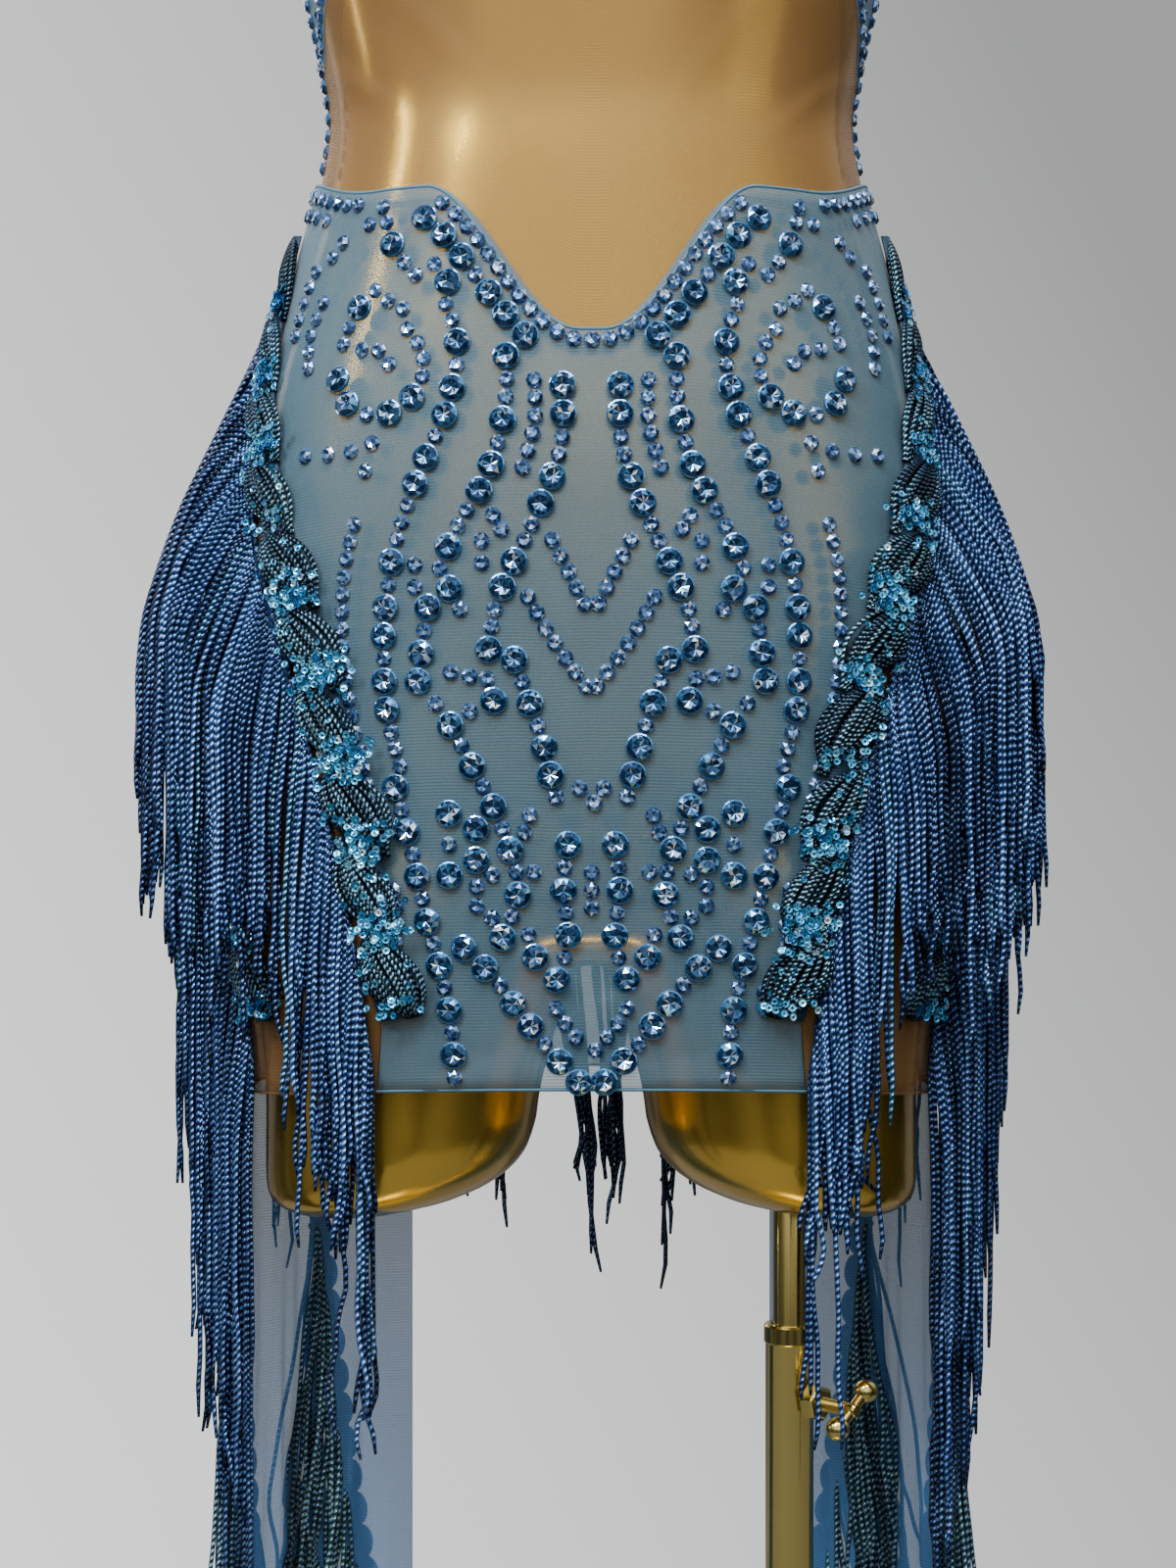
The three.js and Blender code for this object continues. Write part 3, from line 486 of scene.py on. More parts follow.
def gold_plate(start):
    place = object_place(start)
    worn = start.noise(14.0, 4.0, place)
    drawn_out = start.node("ShaderNodeMapping", {}, {"Vector": place, "Scale": (1, 1, 0.04)})
    fine = start.noise(260.0, 2.0, drawn_out)
    return {
        "Base Color": worn.choose((0.52, 0.41, 0.12), (0.70, 0.57, 0.20)),
        "Metallic": 1.0,
        "Roughness": 0.1 + worn * 0.1 + fine * 0.04,
        "Normal": bump(start, fine, 0.04, 0.0003),
    }


FORM_GOLD = material("form_gold", gold_lacquer)
STAND_GOLD = material("stand_gold", gold_plate)
print("gold finishes:", FORM_GOLD.name, STAND_GOLD.name)

# %% [markdown]
# The knit's ribs are level rows about a millimetre and a half apart, and between them the small
# holes of the mesh run in slanting lines. Where the rib is thick the cloth covers more of what
# lies behind. Crossed sines of the cloth's own uv give both at once. A net that is seen edge on
# closes up, so at the sides of the figure the cloth covers more.

# %% Mesh cloth finishes
RIB = 1.4 * MM  # from one level row to the next
WALE = 0.9 * MM  # from one slanting line to the next
CLOSED_UP = 0.75  # how much of a gap is covered where the net is seen edge on


def knit(start):
    """The cloth's uv, its level rows and its slanting lines; both are 1 on a thread and 0 in a gap."""
    uv, across, up = uv_of(start)
    drift = start.noise(30.0, 2.0, uv) * 1.2
    level = up * (2 * math.pi / RIB) + drift
    rib = level.sine() * 0.5 + 0.5
    slant = (across * (2 * math.pi / WALE) + level * 0.5).sine() * (level * 0.5).sine() * 0.5 + 0.5
    return uv, rib, slant


def mesh_cloth(light, dark, cover, gap, sheen_tint):
    """Stretch mesh: two shades of thread, how much a thread and a gap cover, and the sheen's tint."""
    def paint(start):
        uv, rib, slant = knit(start)
        soft = start.noise(22.0, 3.0, uv)
        weave = rib * 0.45 + slant * 0.55
        covered = (gap + weave * (cover - gap)).clamped()
        return {
            "Base Color": (weave * 0.6 + soft * 0.4).choose(dark, light),
            "Alpha": covered + (1.0 - covered) * edge_on(start) ** 3.0 * CLOSED_UP,
            "Roughness": 0.46 + soft * 0.1,
            "Sheen Weight": 0.12,
            "Sheen Roughness": 0.35,
            "Sheen Tint": sheen_tint,
            "Specular IOR Level": 0.3,
            "Normal": bump(start, weave, 0.35, 0.0005),
        }
    return paint


COOL, WARM, PALE = (0.75, 0.88, 1.0, 1), (1.0, 0.86, 0.7, 1), (0.85, 0.93, 1.0, 1)  # tints of sheen
BLUE_MESH = material("blue_mesh", mesh_cloth((0.14, 0.25, 0.32), (0.045, 0.12, 0.18), 0.58, 0.24, COOL))
NUDE_MESH = material("nude_mesh", mesh_cloth((0.36, 0.19, 0.07), (0.18, 0.09, 0.035), 0.42, 0.14, WARM))
TRAIN_MESH = material("train_mesh", mesh_cloth((0.11, 0.30, 0.60), (0.05, 0.17, 0.42), 0.74, 0.50, PALE))
BINDING = material("binding", mesh_cloth((0.10, 0.24, 0.33), (0.04, 0.12, 0.20), 0.97, 0.85, COOL))
print("cloths:", BLUE_MESH.name, NUDE_MESH.name, TRAIN_MESH.name, BINDING.name)

# %% [markdown]
# Fringe cord is two shiny strands twisted together. Close up it looks like a row of slanting
# beads, bright on each bead's crown and almost black where two meet. A twist modelled in faces
# would cost a thousand triangles a cord, so the tube is plain and its uv, a turn and a count of
# twists, shades and bumps the beads: the bright crowns are a painted highlight, strongest where the
# cord faces the eye, and the near black between beads is painted shade.

# %% Cord finish
# painted shade: the near black painted between the beads, where two strands meet
PAINTED_BEAD_SHADE = (0.002, 0.007, 0.02)


def cord_paint(shades, gloss, painted_glint):
    """Twisted cord: its shades, how metallic it is, and the colour of the highlight painted on its beads'
    crowns.
    """
    def paint(start):
        _, turn, twists = uv_of(start)
        bead = ((twists + turn * 2.0) * math.pi).sine().size()
        patch = start.noise(34.0, 2.0, object_place(start))
        # painted highlight: strongest where the cord faces the eye
        middle = (1.0 - edge_on(start)).clamped() ** 2.0
        tone = tone_of(start)
        # painted highlight on each bead's crown, less on the deep, darker cords
        painted_highlight_mask = bead ** 2.5 * middle * (patch * 1.9 - 0.15) * (tone * 1.5 + 0.15)
        shade = tone.ramp(*shades)
        # the painted highlight's colour, and below it the painted shade between beads
        light = start.blend(0.62, shade, painted_glint)
        dark = start.blend(0.72, shade, PAINTED_BEAD_SHADE)
        return {
            "Base Color": painted_highlight_mask.choose(dark, light),
            "Roughness": 0.4 - bead * 0.14,
            "Metallic": gloss,
            "Specular IOR Level": 0.22,
            "Normal": bump(start, bead, 1.0, 0.0011),
        }
    return paint


CORD_SHADES = [(0.0, (0.002, 0.008, 0.05)), (0.35, (0.008, 0.038, 0.21)), (0.65, (0.020, 0.088, 0.42)),
               (0.85, (0.10, 0.24, 0.72)), (1.0, (0.01, 0.18, 0.32))]
LOOP_SHADES = [(0.0, (0.001, 0.008, 0.03)), (0.5, (0.003, 0.025, 0.09)), (0.85, (0.01, 0.07, 0.19)),
               (1.0, (0.004, 0.07, 0.12))]
# the last colour of each cord finish is its painted highlight
CORD = material("cord", cord_paint(CORD_SHADES, 0.62, (0.30, 0.56, 1.0)))
LOOP_CORD = material("loop_cord", cord_paint(LOOP_SHADES, 0.62, (0.45, 0.85, 1.0)))
print("cord shades:", len(CORD_SHADES), "for fringe,", len(LOOP_SHADES), "for the trims' loops")

# %% [markdown]
# A sequin is a flake of foil, and a cut stone is foil behind glass. Each flake and each facet gets
# one tone, and a ramp turns the tone into a colour from nearly black to nearly white. On a stone the
# dark and white facets are painted reflections of the room and of a lamp.


# %% Sequin and stone finishes
def shiny_flake(start):
    tone = tone_of(start)
    return {
        "Base Color": tone.ramp(*FLAKE_SHADES),
        "Metallic": 0.85,
        "Roughness": 0.14 + tone * 0.1,
        "Coat Weight": 0.6,
    }


def cut_stone(shades):
    def paint(start):
        tone = tone_of(start)
        return {
            "Base Color": tone.ramp(*shades),
            "Metallic": 0.8,
            "Roughness": 0.07 + tone * 0.05,
            "Coat Weight": 0.35,
            "Coat Roughness": 0.03,
        }
    return paint


FLAKE_SHADES = [(0.0, (0.03, 0.24, 0.50)), (0.4, (0.06, 0.44, 0.78)), (0.75, (0.26, 0.78, 1.0)),
                (1.0, (0.92, 1.0, 1.0))]
# a stone's ramp runs through its own blues to painted white reflections of a lamp
STONE_SHADES = [(0.0, (0.004, 0.022, 0.07)), (0.35, (0.015, 0.075, 0.19)), (0.6, (0.05, 0.22, 0.46)),
                (0.82, (0.28, 0.62, 0.95)), (1.0, (1.0, 1.0, 1.0))]
SMALL_STONE_SHADES = [(0.0, (0.012, 0.04, 0.12)), (0.35, (0.05, 0.14, 0.33)), (0.6, (0.15, 0.31, 0.62)),
                      (0.85, (0.44, 0.64, 0.98)), (1.0, (0.95, 0.97, 1.0))]
SEQUIN = material("sequin", shiny_flake)
STONE = material("stone", cut_stone(STONE_SHADES))
SMALL_STONE = material("small_stone", cut_stone(SMALL_STONE_SHADES))
print("stone shades:", len(STONE_SHADES))


# %% Handing a piece over
def finish_piece(made, paint, replaced=(), rider="dress_form"):
    """Gives a piece its material and its CAD body, and hides the nodes that it stands for."""
    made.data.materials.append(paint)
    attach(made, rider)
    if replaced:
        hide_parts(*replaced)
    return made


print("a piece rides on the dress form unless it says otherwise")

# %% [markdown]
# ## The dress form
#
# A display form is blown or moulded in one skin, so it is smooth everywhere, even at the crotch.
# Lofted rings make the torso and each thigh; a boolean would leave a hard line between them, so
# the three are joined, remeshed into one skin and smoothed.

# %% The form's sizes
FORM_INSIDE = 2.5  # how far the form lies inside the figure
FORM_TOP, TORSO_LOW, RING_GAP = 1520, 740, 8.0
CROTCH = ((728, 0.9), (720, 0.72), (716, 0.5))  # last levels of the torso, and the share of its size left
DRAWN_IN, DRAW_FROM, DRAW_TO = 0.2, 800, 734  # between the thighs the front and the seat draw in
THIGH_TOP, THIGH_ROUNDS, THIGH_LOW = 800, 630, 604  # below the middle level its end rounds off
THIGH = [
    # height, outer edge, inner edge, front depth, back depth
    (800, 146, 10, 72, 84), (742, 154, 3, 77, 90), (700, 152, 12, 75, 83), (660, 149, 23, 72, 77),
    (636, 149, 27, 71, 75), (620, 149, 39, 67, 71), (609, 148, 62, 58, 62), (604, 140, 86, 42, 46),
]
FORM_SIDES = 96
THIGH_SIDES = 64
VOXEL, SMOOTHINGS = 5, 8
print("thighs", THIGH_TOP - THIGH_LOW, "mm long")


# %% The form's rings
def torso_rings():
    angles = np.arange(FORM_SIDES) * 360 / FORM_SIDES - 180
    levels = [(z, 1) for z in np.arange(FORM_TOP, TORSO_LOW, -RING_GAP)]
    rings = []
    for z, share in levels + list(CROTCH):
        flat = 1 - DRAWN_IN * ease(-z, -DRAW_FROM, -DRAW_TO)
        ring = body(angles, z, -FORM_INSIDE) * (share, share * flat, 1)
        ring[:, 2] = z
        rings.append(ring)
    return np.array(rings)[:, ::-1]


def thigh_rings(side):
    straight = np.arange(THIGH_TOP, THIGH_ROUNDS, -RING_GAP)
    rounding = np.arange(THIGH_ROUNDS, THIGH_LOW, -3.0)
    turn = 2 * np.pi * np.arange(THIGH_SIDES) / THIGH_SIDES
    rings = []
    for z in (*straight, *rounding, THIGH_LOW):
        outer, inner, front, back = (along(THIGH, k, z) for k in (1, 2, 3, 4))
        depth = np.where(np.cos(turn) > 0, front, back)
        x = side * ((outer + inner) / 2 + (outer - inner) / 2 * np.sin(turn))
        rings.append(np.stack([x, -depth * np.cos(turn), np.full(THIGH_SIDES, z)], axis=-1))
    rings = np.array(rings)
    return rings[:, ::-1] if side > 0 else rings


print("torso:", len(torso_rings()), "rings; each thigh:", len(thigh_rings(1)))


# %% One skin
def apply_modifiers(made):
    """Bakes an object's modifiers into its mesh."""
    graph = bpy.context.evaluated_depsgraph_get()
    old = made.data
    made.data = bpy.data.meshes.new_from_object(made.evaluated_get(graph))
    made.modifiers.clear()
    bpy.data.meshes.remove(old)
    return made


def join(name, parts):
    """Several objects become one."""
    with bpy.context.temp_override(active_object=parts[0], selected_editable_objects=parts,
                                   selected_objects=parts, object=parts[0]):
        bpy.ops.object.join()
    parts[0].name = parts[0].data.name = name
    return parts[0]


def dress_form():
    made = join("dress_form", [loft(torso_rings(), "torso"), loft(thigh_rings(1), "thigh_left"),
                               loft(thigh_rings(-1), "thigh_right")])
    remesh = made.modifiers.new("skin", "REMESH")
    remesh.mode = "VOXEL"
    remesh.voxel_size = VOXEL * MM
    smooth = made.modifiers.new("smooth", "SMOOTH")
    smooth.iterations = SMOOTHINGS
    apply_modifiers(made)
    made.data.polygons.foreach_set("use_smooth", [True] * len(made.data.polygons))
    return made


form = finish_piece(dress_form(), FORM_GOLD, ["form_torso"])
print("form:", len(form.data.polygons), "faces")

# %% [markdown]
# ## The cut of the dress
#
# The dress has seven panels. Each is a grid of points between two seams and two edges, laid on the
# figure. Cloth simulation would find the same shape, because stretch mesh is smaller than the form
# and is pulled smooth over it, so the grid is laid directly and the few drag lines are pressed in.

# %% Seams and edges
HEM, HEM_RISE, WAIST_SEAM = 660, 7, 1067
PEAK_X, PEAK, V_POINT = 70, 1054, 990
ARCH_TOP, ARCH_SIDE = 1212, 1100
NECK_CENTRE, NECK_STRAP, TOP_SIDE = 1296, 1332, 1300
SIDE_SEAM, BACK_SEAM = 84, 126  # angles round the figure
SEAM_ANGLE, SEAM_HEIGHT = 0.12, 0.5  # what a panel stays back from a seam: degrees beside it, mm above it
LAP = 8  # how far a panel of the bodice runs on under the skirt
SKIRT_FACE, BODICE_FACE, STRAP_FACE = 5.1, 2.7, 4.0  # each cloth's outer face, from the figure
THICK = 0.6  # of the cloth
FRONT_SEAM = [
    # height, angle
    (650, 29.5), (707, 28), (752, 29.8), (797, 34), (842, 39), (887, 48), (923, 56.5), (964, 66.5),
    (1006, 73.5), (1042, 79), (1067, 84),
]


def front_seam(z):
    """The angle of the seam between the skirt's front and its side."""
    return along(FRONT_SEAM, 1, z)


def hem(angle):
    """The hem's height: it rises a little in front."""
    return HEM + HEM_RISE * np.maximum(np.cos(np.radians(angle)), 0) ** 2


def front_edge(angle):
    """The skirt's upper edge in front: from the side seam to a peak, then down to the V."""
    x = np.abs(body(angle, PEAK)[..., 0])
    inner = mix(V_POINT, PEAK, ease(x / PEAK_X, 0.06, 1))
    outer = mix(PEAK, WAIST_SEAM, ease(np.abs(angle), 45, 85))
    return np.where(x < PEAK_X, inner, outer)


def arch(angle):
    """The seam where the waist panel ends, in an arch below the bust."""
    cosine = np.cos(np.radians(90 * np.asarray(angle) / SIDE_SEAM))
    return mix(ARCH_SIDE, ARCH_TOP, np.maximum(cosine, 0) ** 0.8)


def neckline(angle):
    """The bodice's upper edge: it rises from the middle to the straps and falls to the sides."""
    to_strap = mix(NECK_CENTRE, NECK_STRAP, ease(np.abs(angle), 0, 44))
    return mix(to_strap, TOP_SIDE, ease(np.abs(angle), 46, SIDE_SEAM))


print("V at", V_POINT, "mm, peaks at", PEAK, "mm")

# %% Creases
SAG = 0.004  # a drag line's ends hang this much lower for each square of the distance from its middle
CREASES = [
    # x across the front, height, half length, half width, depth, slope
    (-33, 676, 30, 3.2, 1.5, 0.10), (-20, 688, 22, 2.6, 0.7, 0.22), (38, 674, 26, 3.0, 1.2, -0.12),
    (8, 704, 20, 4.0, 0.8, 0.5), (-11, 716, 22, 4.0, 0.9, -0.6), (92, 704, 18, 3.0, 0.8, -0.3),
    (-88, 712, 20, 3.0, 0.9, 0.3), (2, 958, 24, 3.0, 0.4, 0.05), (-64, 1032, 16, 3.0, 0.5, -0.5),
    (66, 1030, 18, 3.0, 0.6, 0.5), (96, 1098, 30, 4.5, 0.7, 0.9), (-98, 1104, 34, 4.5, 0.8, -0.8),
    (-70, 1126, 40, 6.0, 0.5, -1.0), (74, 1140, 44, 6.0, 0.5, 1.1),
]
BACK_CREASES = [
    (0, 700, 46, 4.0, 1.4, 0.05), (-30, 716, 30, 3.5, 1.0, 0.3), (34, 712, 32, 3.5, 1.0, -0.25),
    (6, 1046, 50, 4.0, 1.2, 0.04), (-22, 1030, 36, 3.5, 0.9, 0.12), (60, 1062, 24, 3.0, 0.8, -0.2),
    (96, 690, 24, 3.0, 1.0, 0.2), (-92, 694, 26, 3.0, 1.0, -0.25),
]


def crease(angle, z):
    """How far the cloth stands out or sinks in soft drag lines."""
    place = skin(angle, z)
    in_front = place[..., 1] < 0
    total = np.zeros(place.shape[:-1])
    for rows, here in ((CREASES, in_front), (BACK_CREASES, ~in_front)):
        for x, level, long, wide, depth, slope in rows:
            aside = place[..., 0] - x
            off = (z - level - slope * aside + SAG * aside ** 2) / wide
            ridge = np.exp(-off ** 2) - 0.5 * np.exp(-(off - 1.7) ** 2)
            total = total + here * depth * ridge * np.exp(-(aside / long) ** 2)
    return total


print(len(CREASES) + len(BACK_CREASES), "drag lines")


# %% Panels
def panel(name, left, right, low, high, face, rows, columns):
    """A panel of cloth. left(z) and right(z) are the angles of its side edges, low(share) and
    high(share) the heights of its lower and upper edge at a share of its width."""
    share = np.linspace(0, 1, columns + 1)[None, :]
    z = mix(low(share), high(share), np.linspace(0, 1, rows + 1)[:, None])
    angle = mix(left(z), right(z), share)
    away = face + crease(angle, z)
    return shell(name, body(angle, z, away), body(angle, z, away - THICK))


def constant(value):
    """A function that gives this value everywhere."""
    return lambda at: value + 0 * at


def sew(made, paint, node):
    """Finishes a panel, and states the size that it was cut to."""
    finish_piece(made, paint, [node])
    width, length = made["flat"]
    area = min(made["area"], width * length)
    print(f"{made.name}: {width:.3f} x {length:.3f} m, {area:.4f} m2")


# %% [markdown]
# The skirt's front is blue from seam to seam, and its upper edge dips to a V between two peaks. The
# sides are tan and run from the hem to the waist, and the back is blue again.

# %% Skirt
def skirt_front():
    def across(share, level):
        return (2 * share - 1) * front_seam(level)
    return panel("skirt_front_mesh",
                 lambda z: SEAM_ANGLE - front_seam(z), lambda z: front_seam(z) - SEAM_ANGLE,
                 lambda share: hem(across(share, HEM)),
                 lambda share: front_edge(across(share, WAIST_SEAM)), SKIRT_FACE, 64, 96)


def skirt_side(side, name):
    def near(z):
        return side * (front_seam(z) + SEAM_ANGLE)

    def far(z):
        return side * (BACK_SEAM - SEAM_ANGLE) + 0 * z

    def low(share):
        shown = share if side > 0 else 1 - share
        return hem(mix(front_seam(HEM), BACK_SEAM, shown))
    edges = (near, far) if side > 0 else (far, near)
    return panel(name, *edges, low, constant(WAIST_SEAM), SKIRT_FACE, 60, 36)


def skirt_back():
    return panel("skirt_back_mesh", constant(BACK_SEAM + SEAM_ANGLE), constant(360 - BACK_SEAM - SEAM_ANGLE),
                 constant(HEM), constant(WAIST_SEAM), SKIRT_FACE, 56, 56)


sew(skirt_front(), BLUE_MESH, "skirt_front")
sew(skirt_side(1, "skirt_side_left_mesh"), NUDE_MESH, "skirt_side_left")
sew(skirt_side(-1, "skirt_side_right_mesh"), NUDE_MESH, "skirt_side_right")
sew(skirt_back(), BLUE_MESH, "skirt_back")

# %% [markdown]
# The waist panel runs on a little under the skirt and ends in an arch that the bodice is sewn to.
# Above it the bodice goes on round the back, and two narrow straps cross the shoulders.

# %% Bodice
FRONT_HALF = SIDE_SEAM - SEAM_ANGLE


def front_angle(share):
    return (2 * share - 1) * FRONT_HALF


def waist_panel():
    return panel("waist_panel_mesh", constant(-FRONT_HALF), constant(FRONT_HALF),
                 lambda share: front_edge(front_angle(share)) - LAP, lambda share: arch(front_angle(share)),
                 BODICE_FACE, 36, 84)


def bodice_front():
    return panel("bodice_front_mesh", constant(-FRONT_HALF), constant(FRONT_HALF),
                 lambda share: arch(front_angle(share)) + SEAM_HEIGHT,
                 lambda share: neckline(front_angle(share)), BODICE_FACE, 30, 84)


def bodice_back():
    return panel("bodice_back_mesh", constant(SIDE_SEAM + SEAM_ANGLE), constant(360 - SIDE_SEAM - SEAM_ANGLE),
                 constant(WAIST_SEAM - LAP), constant(TOP_SIDE), BODICE_FACE, 36, 64)


sew(waist_panel(), NUDE_MESH, "waist_panel")
sew(bodice_front(), BLUE_MESH, "bodice_front")
sew(bodice_back(), BLUE_MESH, "bodice_back")

# %% Straps
STRAP_X, STRAP_HALF = 92, 6  # middle and half width
STRAP_FRONT = (1334, 1360, 1385, 1408, 1425, 1436)  # levels up the front, and down the back
STRAP_BACK = (1436, 1425, 1408, 1380, 1345, 1302)
STRAP_TOP, STRAP_TOP_Y, STRAP_SLOPE = 1447, 2, 2
STRAP_COLUMNS, STRAP_ROWS = 5, 60


def strap(side, name):
    """A ribbon over the shoulder, from the bodice's front edge to its back edge."""
    share = np.linspace(0, 1, STRAP_COLUMNS)[::side]
    x = side * mix(STRAP_X - STRAP_HALF, STRAP_X + STRAP_HALF, share)

    def rows(out):
        front = [body(angle_at(x, z), z, out) for z in STRAP_FRONT]
        crest_z = STRAP_TOP + out - STRAP_SLOPE * share
        crest = np.stack([x, np.full(STRAP_COLUMNS, STRAP_TOP_Y), crest_z], axis=-1)
        back = [body(side * 180 - angle_at(x, z), z, out) for z in STRAP_BACK]
        line = np.array(front + [crest] + back)
        at = np.linspace(0, len(line) - 1, STRAP_ROWS)
        low = np.minimum(at.astype(int), len(line) - 2)
        blend = (at - low)[:, None, None]
        tangent = np.gradient(line, axis=0)
        a, b, ta, tb = line[low], line[low + 1], tangent[low], tangent[low + 1]
        return (a * (1 + 2 * blend) * (1 - blend) ** 2 + b * blend ** 2 * (3 - 2 * blend)
                + ta * blend * (1 - blend) ** 2 - tb * blend ** 2 * (1 - blend))
    return shell(name, rows(STRAP_FACE), rows(STRAP_FACE - THICK))


sew(strap(1, "strap_left_ribbon"), BINDING, "strap_left")
sew(strap(-1, "strap_right_ribbon"), BINDING, "strap_right")

# %% [markdown]
# Raw stretch mesh is turned once and stitched along its edges, so an edge reads as a thin, denser
# line. A cord along each edge, flattened into the cloth, gives that line some thickness.

# %% Turned edges
EDGE_R = 0.75


def edge_line(name, angles, levels, face, paint):
    line = body(angles, levels, face - EDGE_R / 2)[None]
    outward = skin_frame(angles, levels)[2][None]
    made = tubes(name, line, EDGE_R, outward, np.full(1, 0.5), sides=6, tip=1.0)
    finish_piece(made, paint)


FRONT_ANGLES = np.linspace(-SIDE_SEAM, SIDE_SEAM, 220)
HEM_HALF = float(front_seam(HEM))
hem_angles = np.linspace(-HEM_HALF, HEM_HALF, 90)
edge_line("hem_front_edge", hem_angles, hem(hem_angles), SKIRT_FACE, BINDING)
edge_line("v_edge", FRONT_ANGLES, front_edge(FRONT_ANGLES), SKIRT_FACE, BINDING)
edge_line("arch_seam", FRONT_ANGLES, arch(FRONT_ANGLES), BODICE_FACE, BINDING)
edge_line("neck_edge", FRONT_ANGLES, neckline(FRONT_ANGLES), BODICE_FACE, BINDING)
back_angles = np.linspace(SIDE_SEAM, 360 - SIDE_SEAM, 120)
edge_line("back_neck_edge", back_angles, TOP_SIDE + 0 * back_angles, BODICE_FACE, BINDING)
edge_line("back_waist_seam", back_angles, WAIST_SEAM + 0 * back_angles, SKIRT_FACE, BINDING)
for side, name in ((1, "hem_side_left_edge"), (-1, "hem_side_right_edge")):
    angles = side * np.linspace(HEM_HALF, BACK_SEAM, 70)
    edge_line(name, angles, hem(angles), SKIRT_FACE, NUDE_MESH)
seat_angles = np.linspace(BACK_SEAM, 360 - BACK_SEAM, 90)
edge_line("hem_back_edge", seat_angles, HEM + 0 * seat_angles, SKIRT_FACE, BINDING)
print("edges turned")

# %% [markdown]
# ## Stones
#
# Two sizes of stone are glued to the front: large ones 11.6 mm across in a thin cup, and small ones
# 7 mm across. A cut stone is dark where it reflects the room and white where it reflects a lamp, and
# its inside, which a mirror foil backs, breaks that into wedges. Glass with foil behind it takes
# long to render, so each stone is a hard metallic shape with a sunk star, and every facet has a tone
# of its own: painted reflections, dark, middling or white, over the stone's own blue.

# %% Smooth routes
SEED = 11
rng = np.random.default_rng(SEED)


def smooth_line(points):
    """Closely spaced points on a smooth curve through these, and the length up to each."""
    p = np.array(points, float)
    p = np.concatenate([[2 * p[0] - p[1]], p, [2 * p[-1] - p[-2]]])
    gap = np.sqrt(np.linalg.norm(np.diff(p, axis=0), axis=1))
    t = np.linspace(0, 1, 40, endpoint=False)[:, None]
    parts = []
    for i in range(1, len(p) - 2):
        before, here, after = gap[i - 1:i + 2]
        step = p[i + 1] - p[i]
        leave = ((p[i] - p[i - 1]) / before - (p[i + 1] - p[i - 1]) / (before + here) + step / here) * here
        arrive = (step / here - (p[i + 2] - p[i]) / (here + after) + (p[i + 2] - p[i + 1]) / after) * here
        parts.append(p[i] + leave * t + (3 * step - 2 * leave - arrive) * t ** 2
                     + (leave + arrive - 2 * step) * t ** 3)
    line = np.concatenate(parts + [p[-2:-1]])
    return line, np.concatenate([[0], np.cumsum(np.linalg.norm(np.diff(line, axis=0), axis=1))])


def at_length(line, length, at):
    """Points of a line at these distances along it."""
    return np.stack([np.interp(at, length, column) for column in line.T], axis=-1)


# %% Where the stones go
LARGE_R, LARGE_HIGH, LARGE_ROOM = 5.9, 3.6, 12.0
SMALL_R, SMALL_HIGH, SMALL_ROOM = 3.6, 2.1, 7.5
APART = (6.8, 8.9, 11.6)  # least distance of two middles when none, one or both of the stones are large
EDGE_ROWS = [
    # stones that follow the front edge: their order, how far below it, and from which x to which
    ("s", 4.6, -3.6, 60), ("LLLs", 14.0, 14, 70), ("sLs", 4.6, 60, 84), ("LsL", 25, 36, 66),
    ("s", 34, 44, 64), ("LLs", 25, 58, 84), ("ss", 15, 82, 96),
]
STONE_ROWS = [
    # L is a large stone and s a small one; points are x from the centre line and up from the hem
    ("L", [(78, 380), (92, 368)]), ("sLs", [(88, 352), (99, 340), (106, 322)]),
    ("sLssLsLLs", [(36, 332), (36, 300), (43, 270), (57, 245), (68, 215), (73, 180)]),
    ("ssLsLLsLLs", [(62, 345), (56, 324), (60, 298), (71, 272), (82, 240), (87, 205), (86, 170), (80, 142)]),
    ("LLss", [(12, 312), (13, 280), (24, 250), (40, 214), (44, 190)]),
    ("LsLLs", [(44, 226), (33, 192), (22, 160), (14, 128)]),
    ("LsLs", [(62, 168), (50, 145), (38, 120), (31, 92), (40, 66)]),
    ("LsLs", [(9, 118), (12, 96), (10, 70), (16, 52)]),
    ("LLs", [(58, 72), (42, 56), (30, 40), (16, 22), (5, 10)]),
    ("LsLs", [(84, 142), (76, 110), (69, 78), (60, 40), (58, 12)]),
    ("LsL", [(62, 226), (50, 200), (40, 170)]), ("sLs", [(24, 104), (27, 76), (20, 54)]),
    ("LsL", [(48, 250), (52, 268), (62, 262)]),
]
SMALL_ROWS = [
    # rows of small stones only, by the same two measures
    [(29, 264), (14, 236), (0, 208)], [(45, 262), (34, 232), (17, 200), (0, 176)],
    [(30, 178), (14, 150), (0, 128)], [(99, 252), (104, 228), (105, 200), (102, 172), (97, 148), (91, 122)],
    [(76, 338), (84, 344), (94, 344)], [(84, 388), (98, 380), (110, 366)],
    [(112, 350), (119, 332), (120, 314)], [(112, 372), (121, 352), (127, 330)],
    [(25, 128), (31, 104), (22, 86)], [(50, 96), (46, 74), (38, 60)], [(84, 96), (82, 74), (86, 60)],
    [(0, 104), (0, 84)], [(26, 74), (14, 40), (0, 22)], [(72, 330), (74, 312), (70, 292)],
    [(24, 312), (24, 290), (30, 268)], [(52, 190), (60, 180), (66, 190)], [(72, 60), (74, 34)],
]
LONE_STONES = [(121, 279), (111, 279), (101, 280), (92, 283), (95, 271)]
SCROLL = {"x": 92, "up": 313, "inner": 7, "outer": 24, "turns": 1.15, "beads": "ssssLLsLLs"}
ROSETTE = {"x": 60, "up": 112, "ring": 13.2, "petals": 6}
CLUSTERS = [(57, 176, 7), (40, 90, 7), (66, 226, 6), (38, 236, 6)]  # x, up, and how many stones in a ring
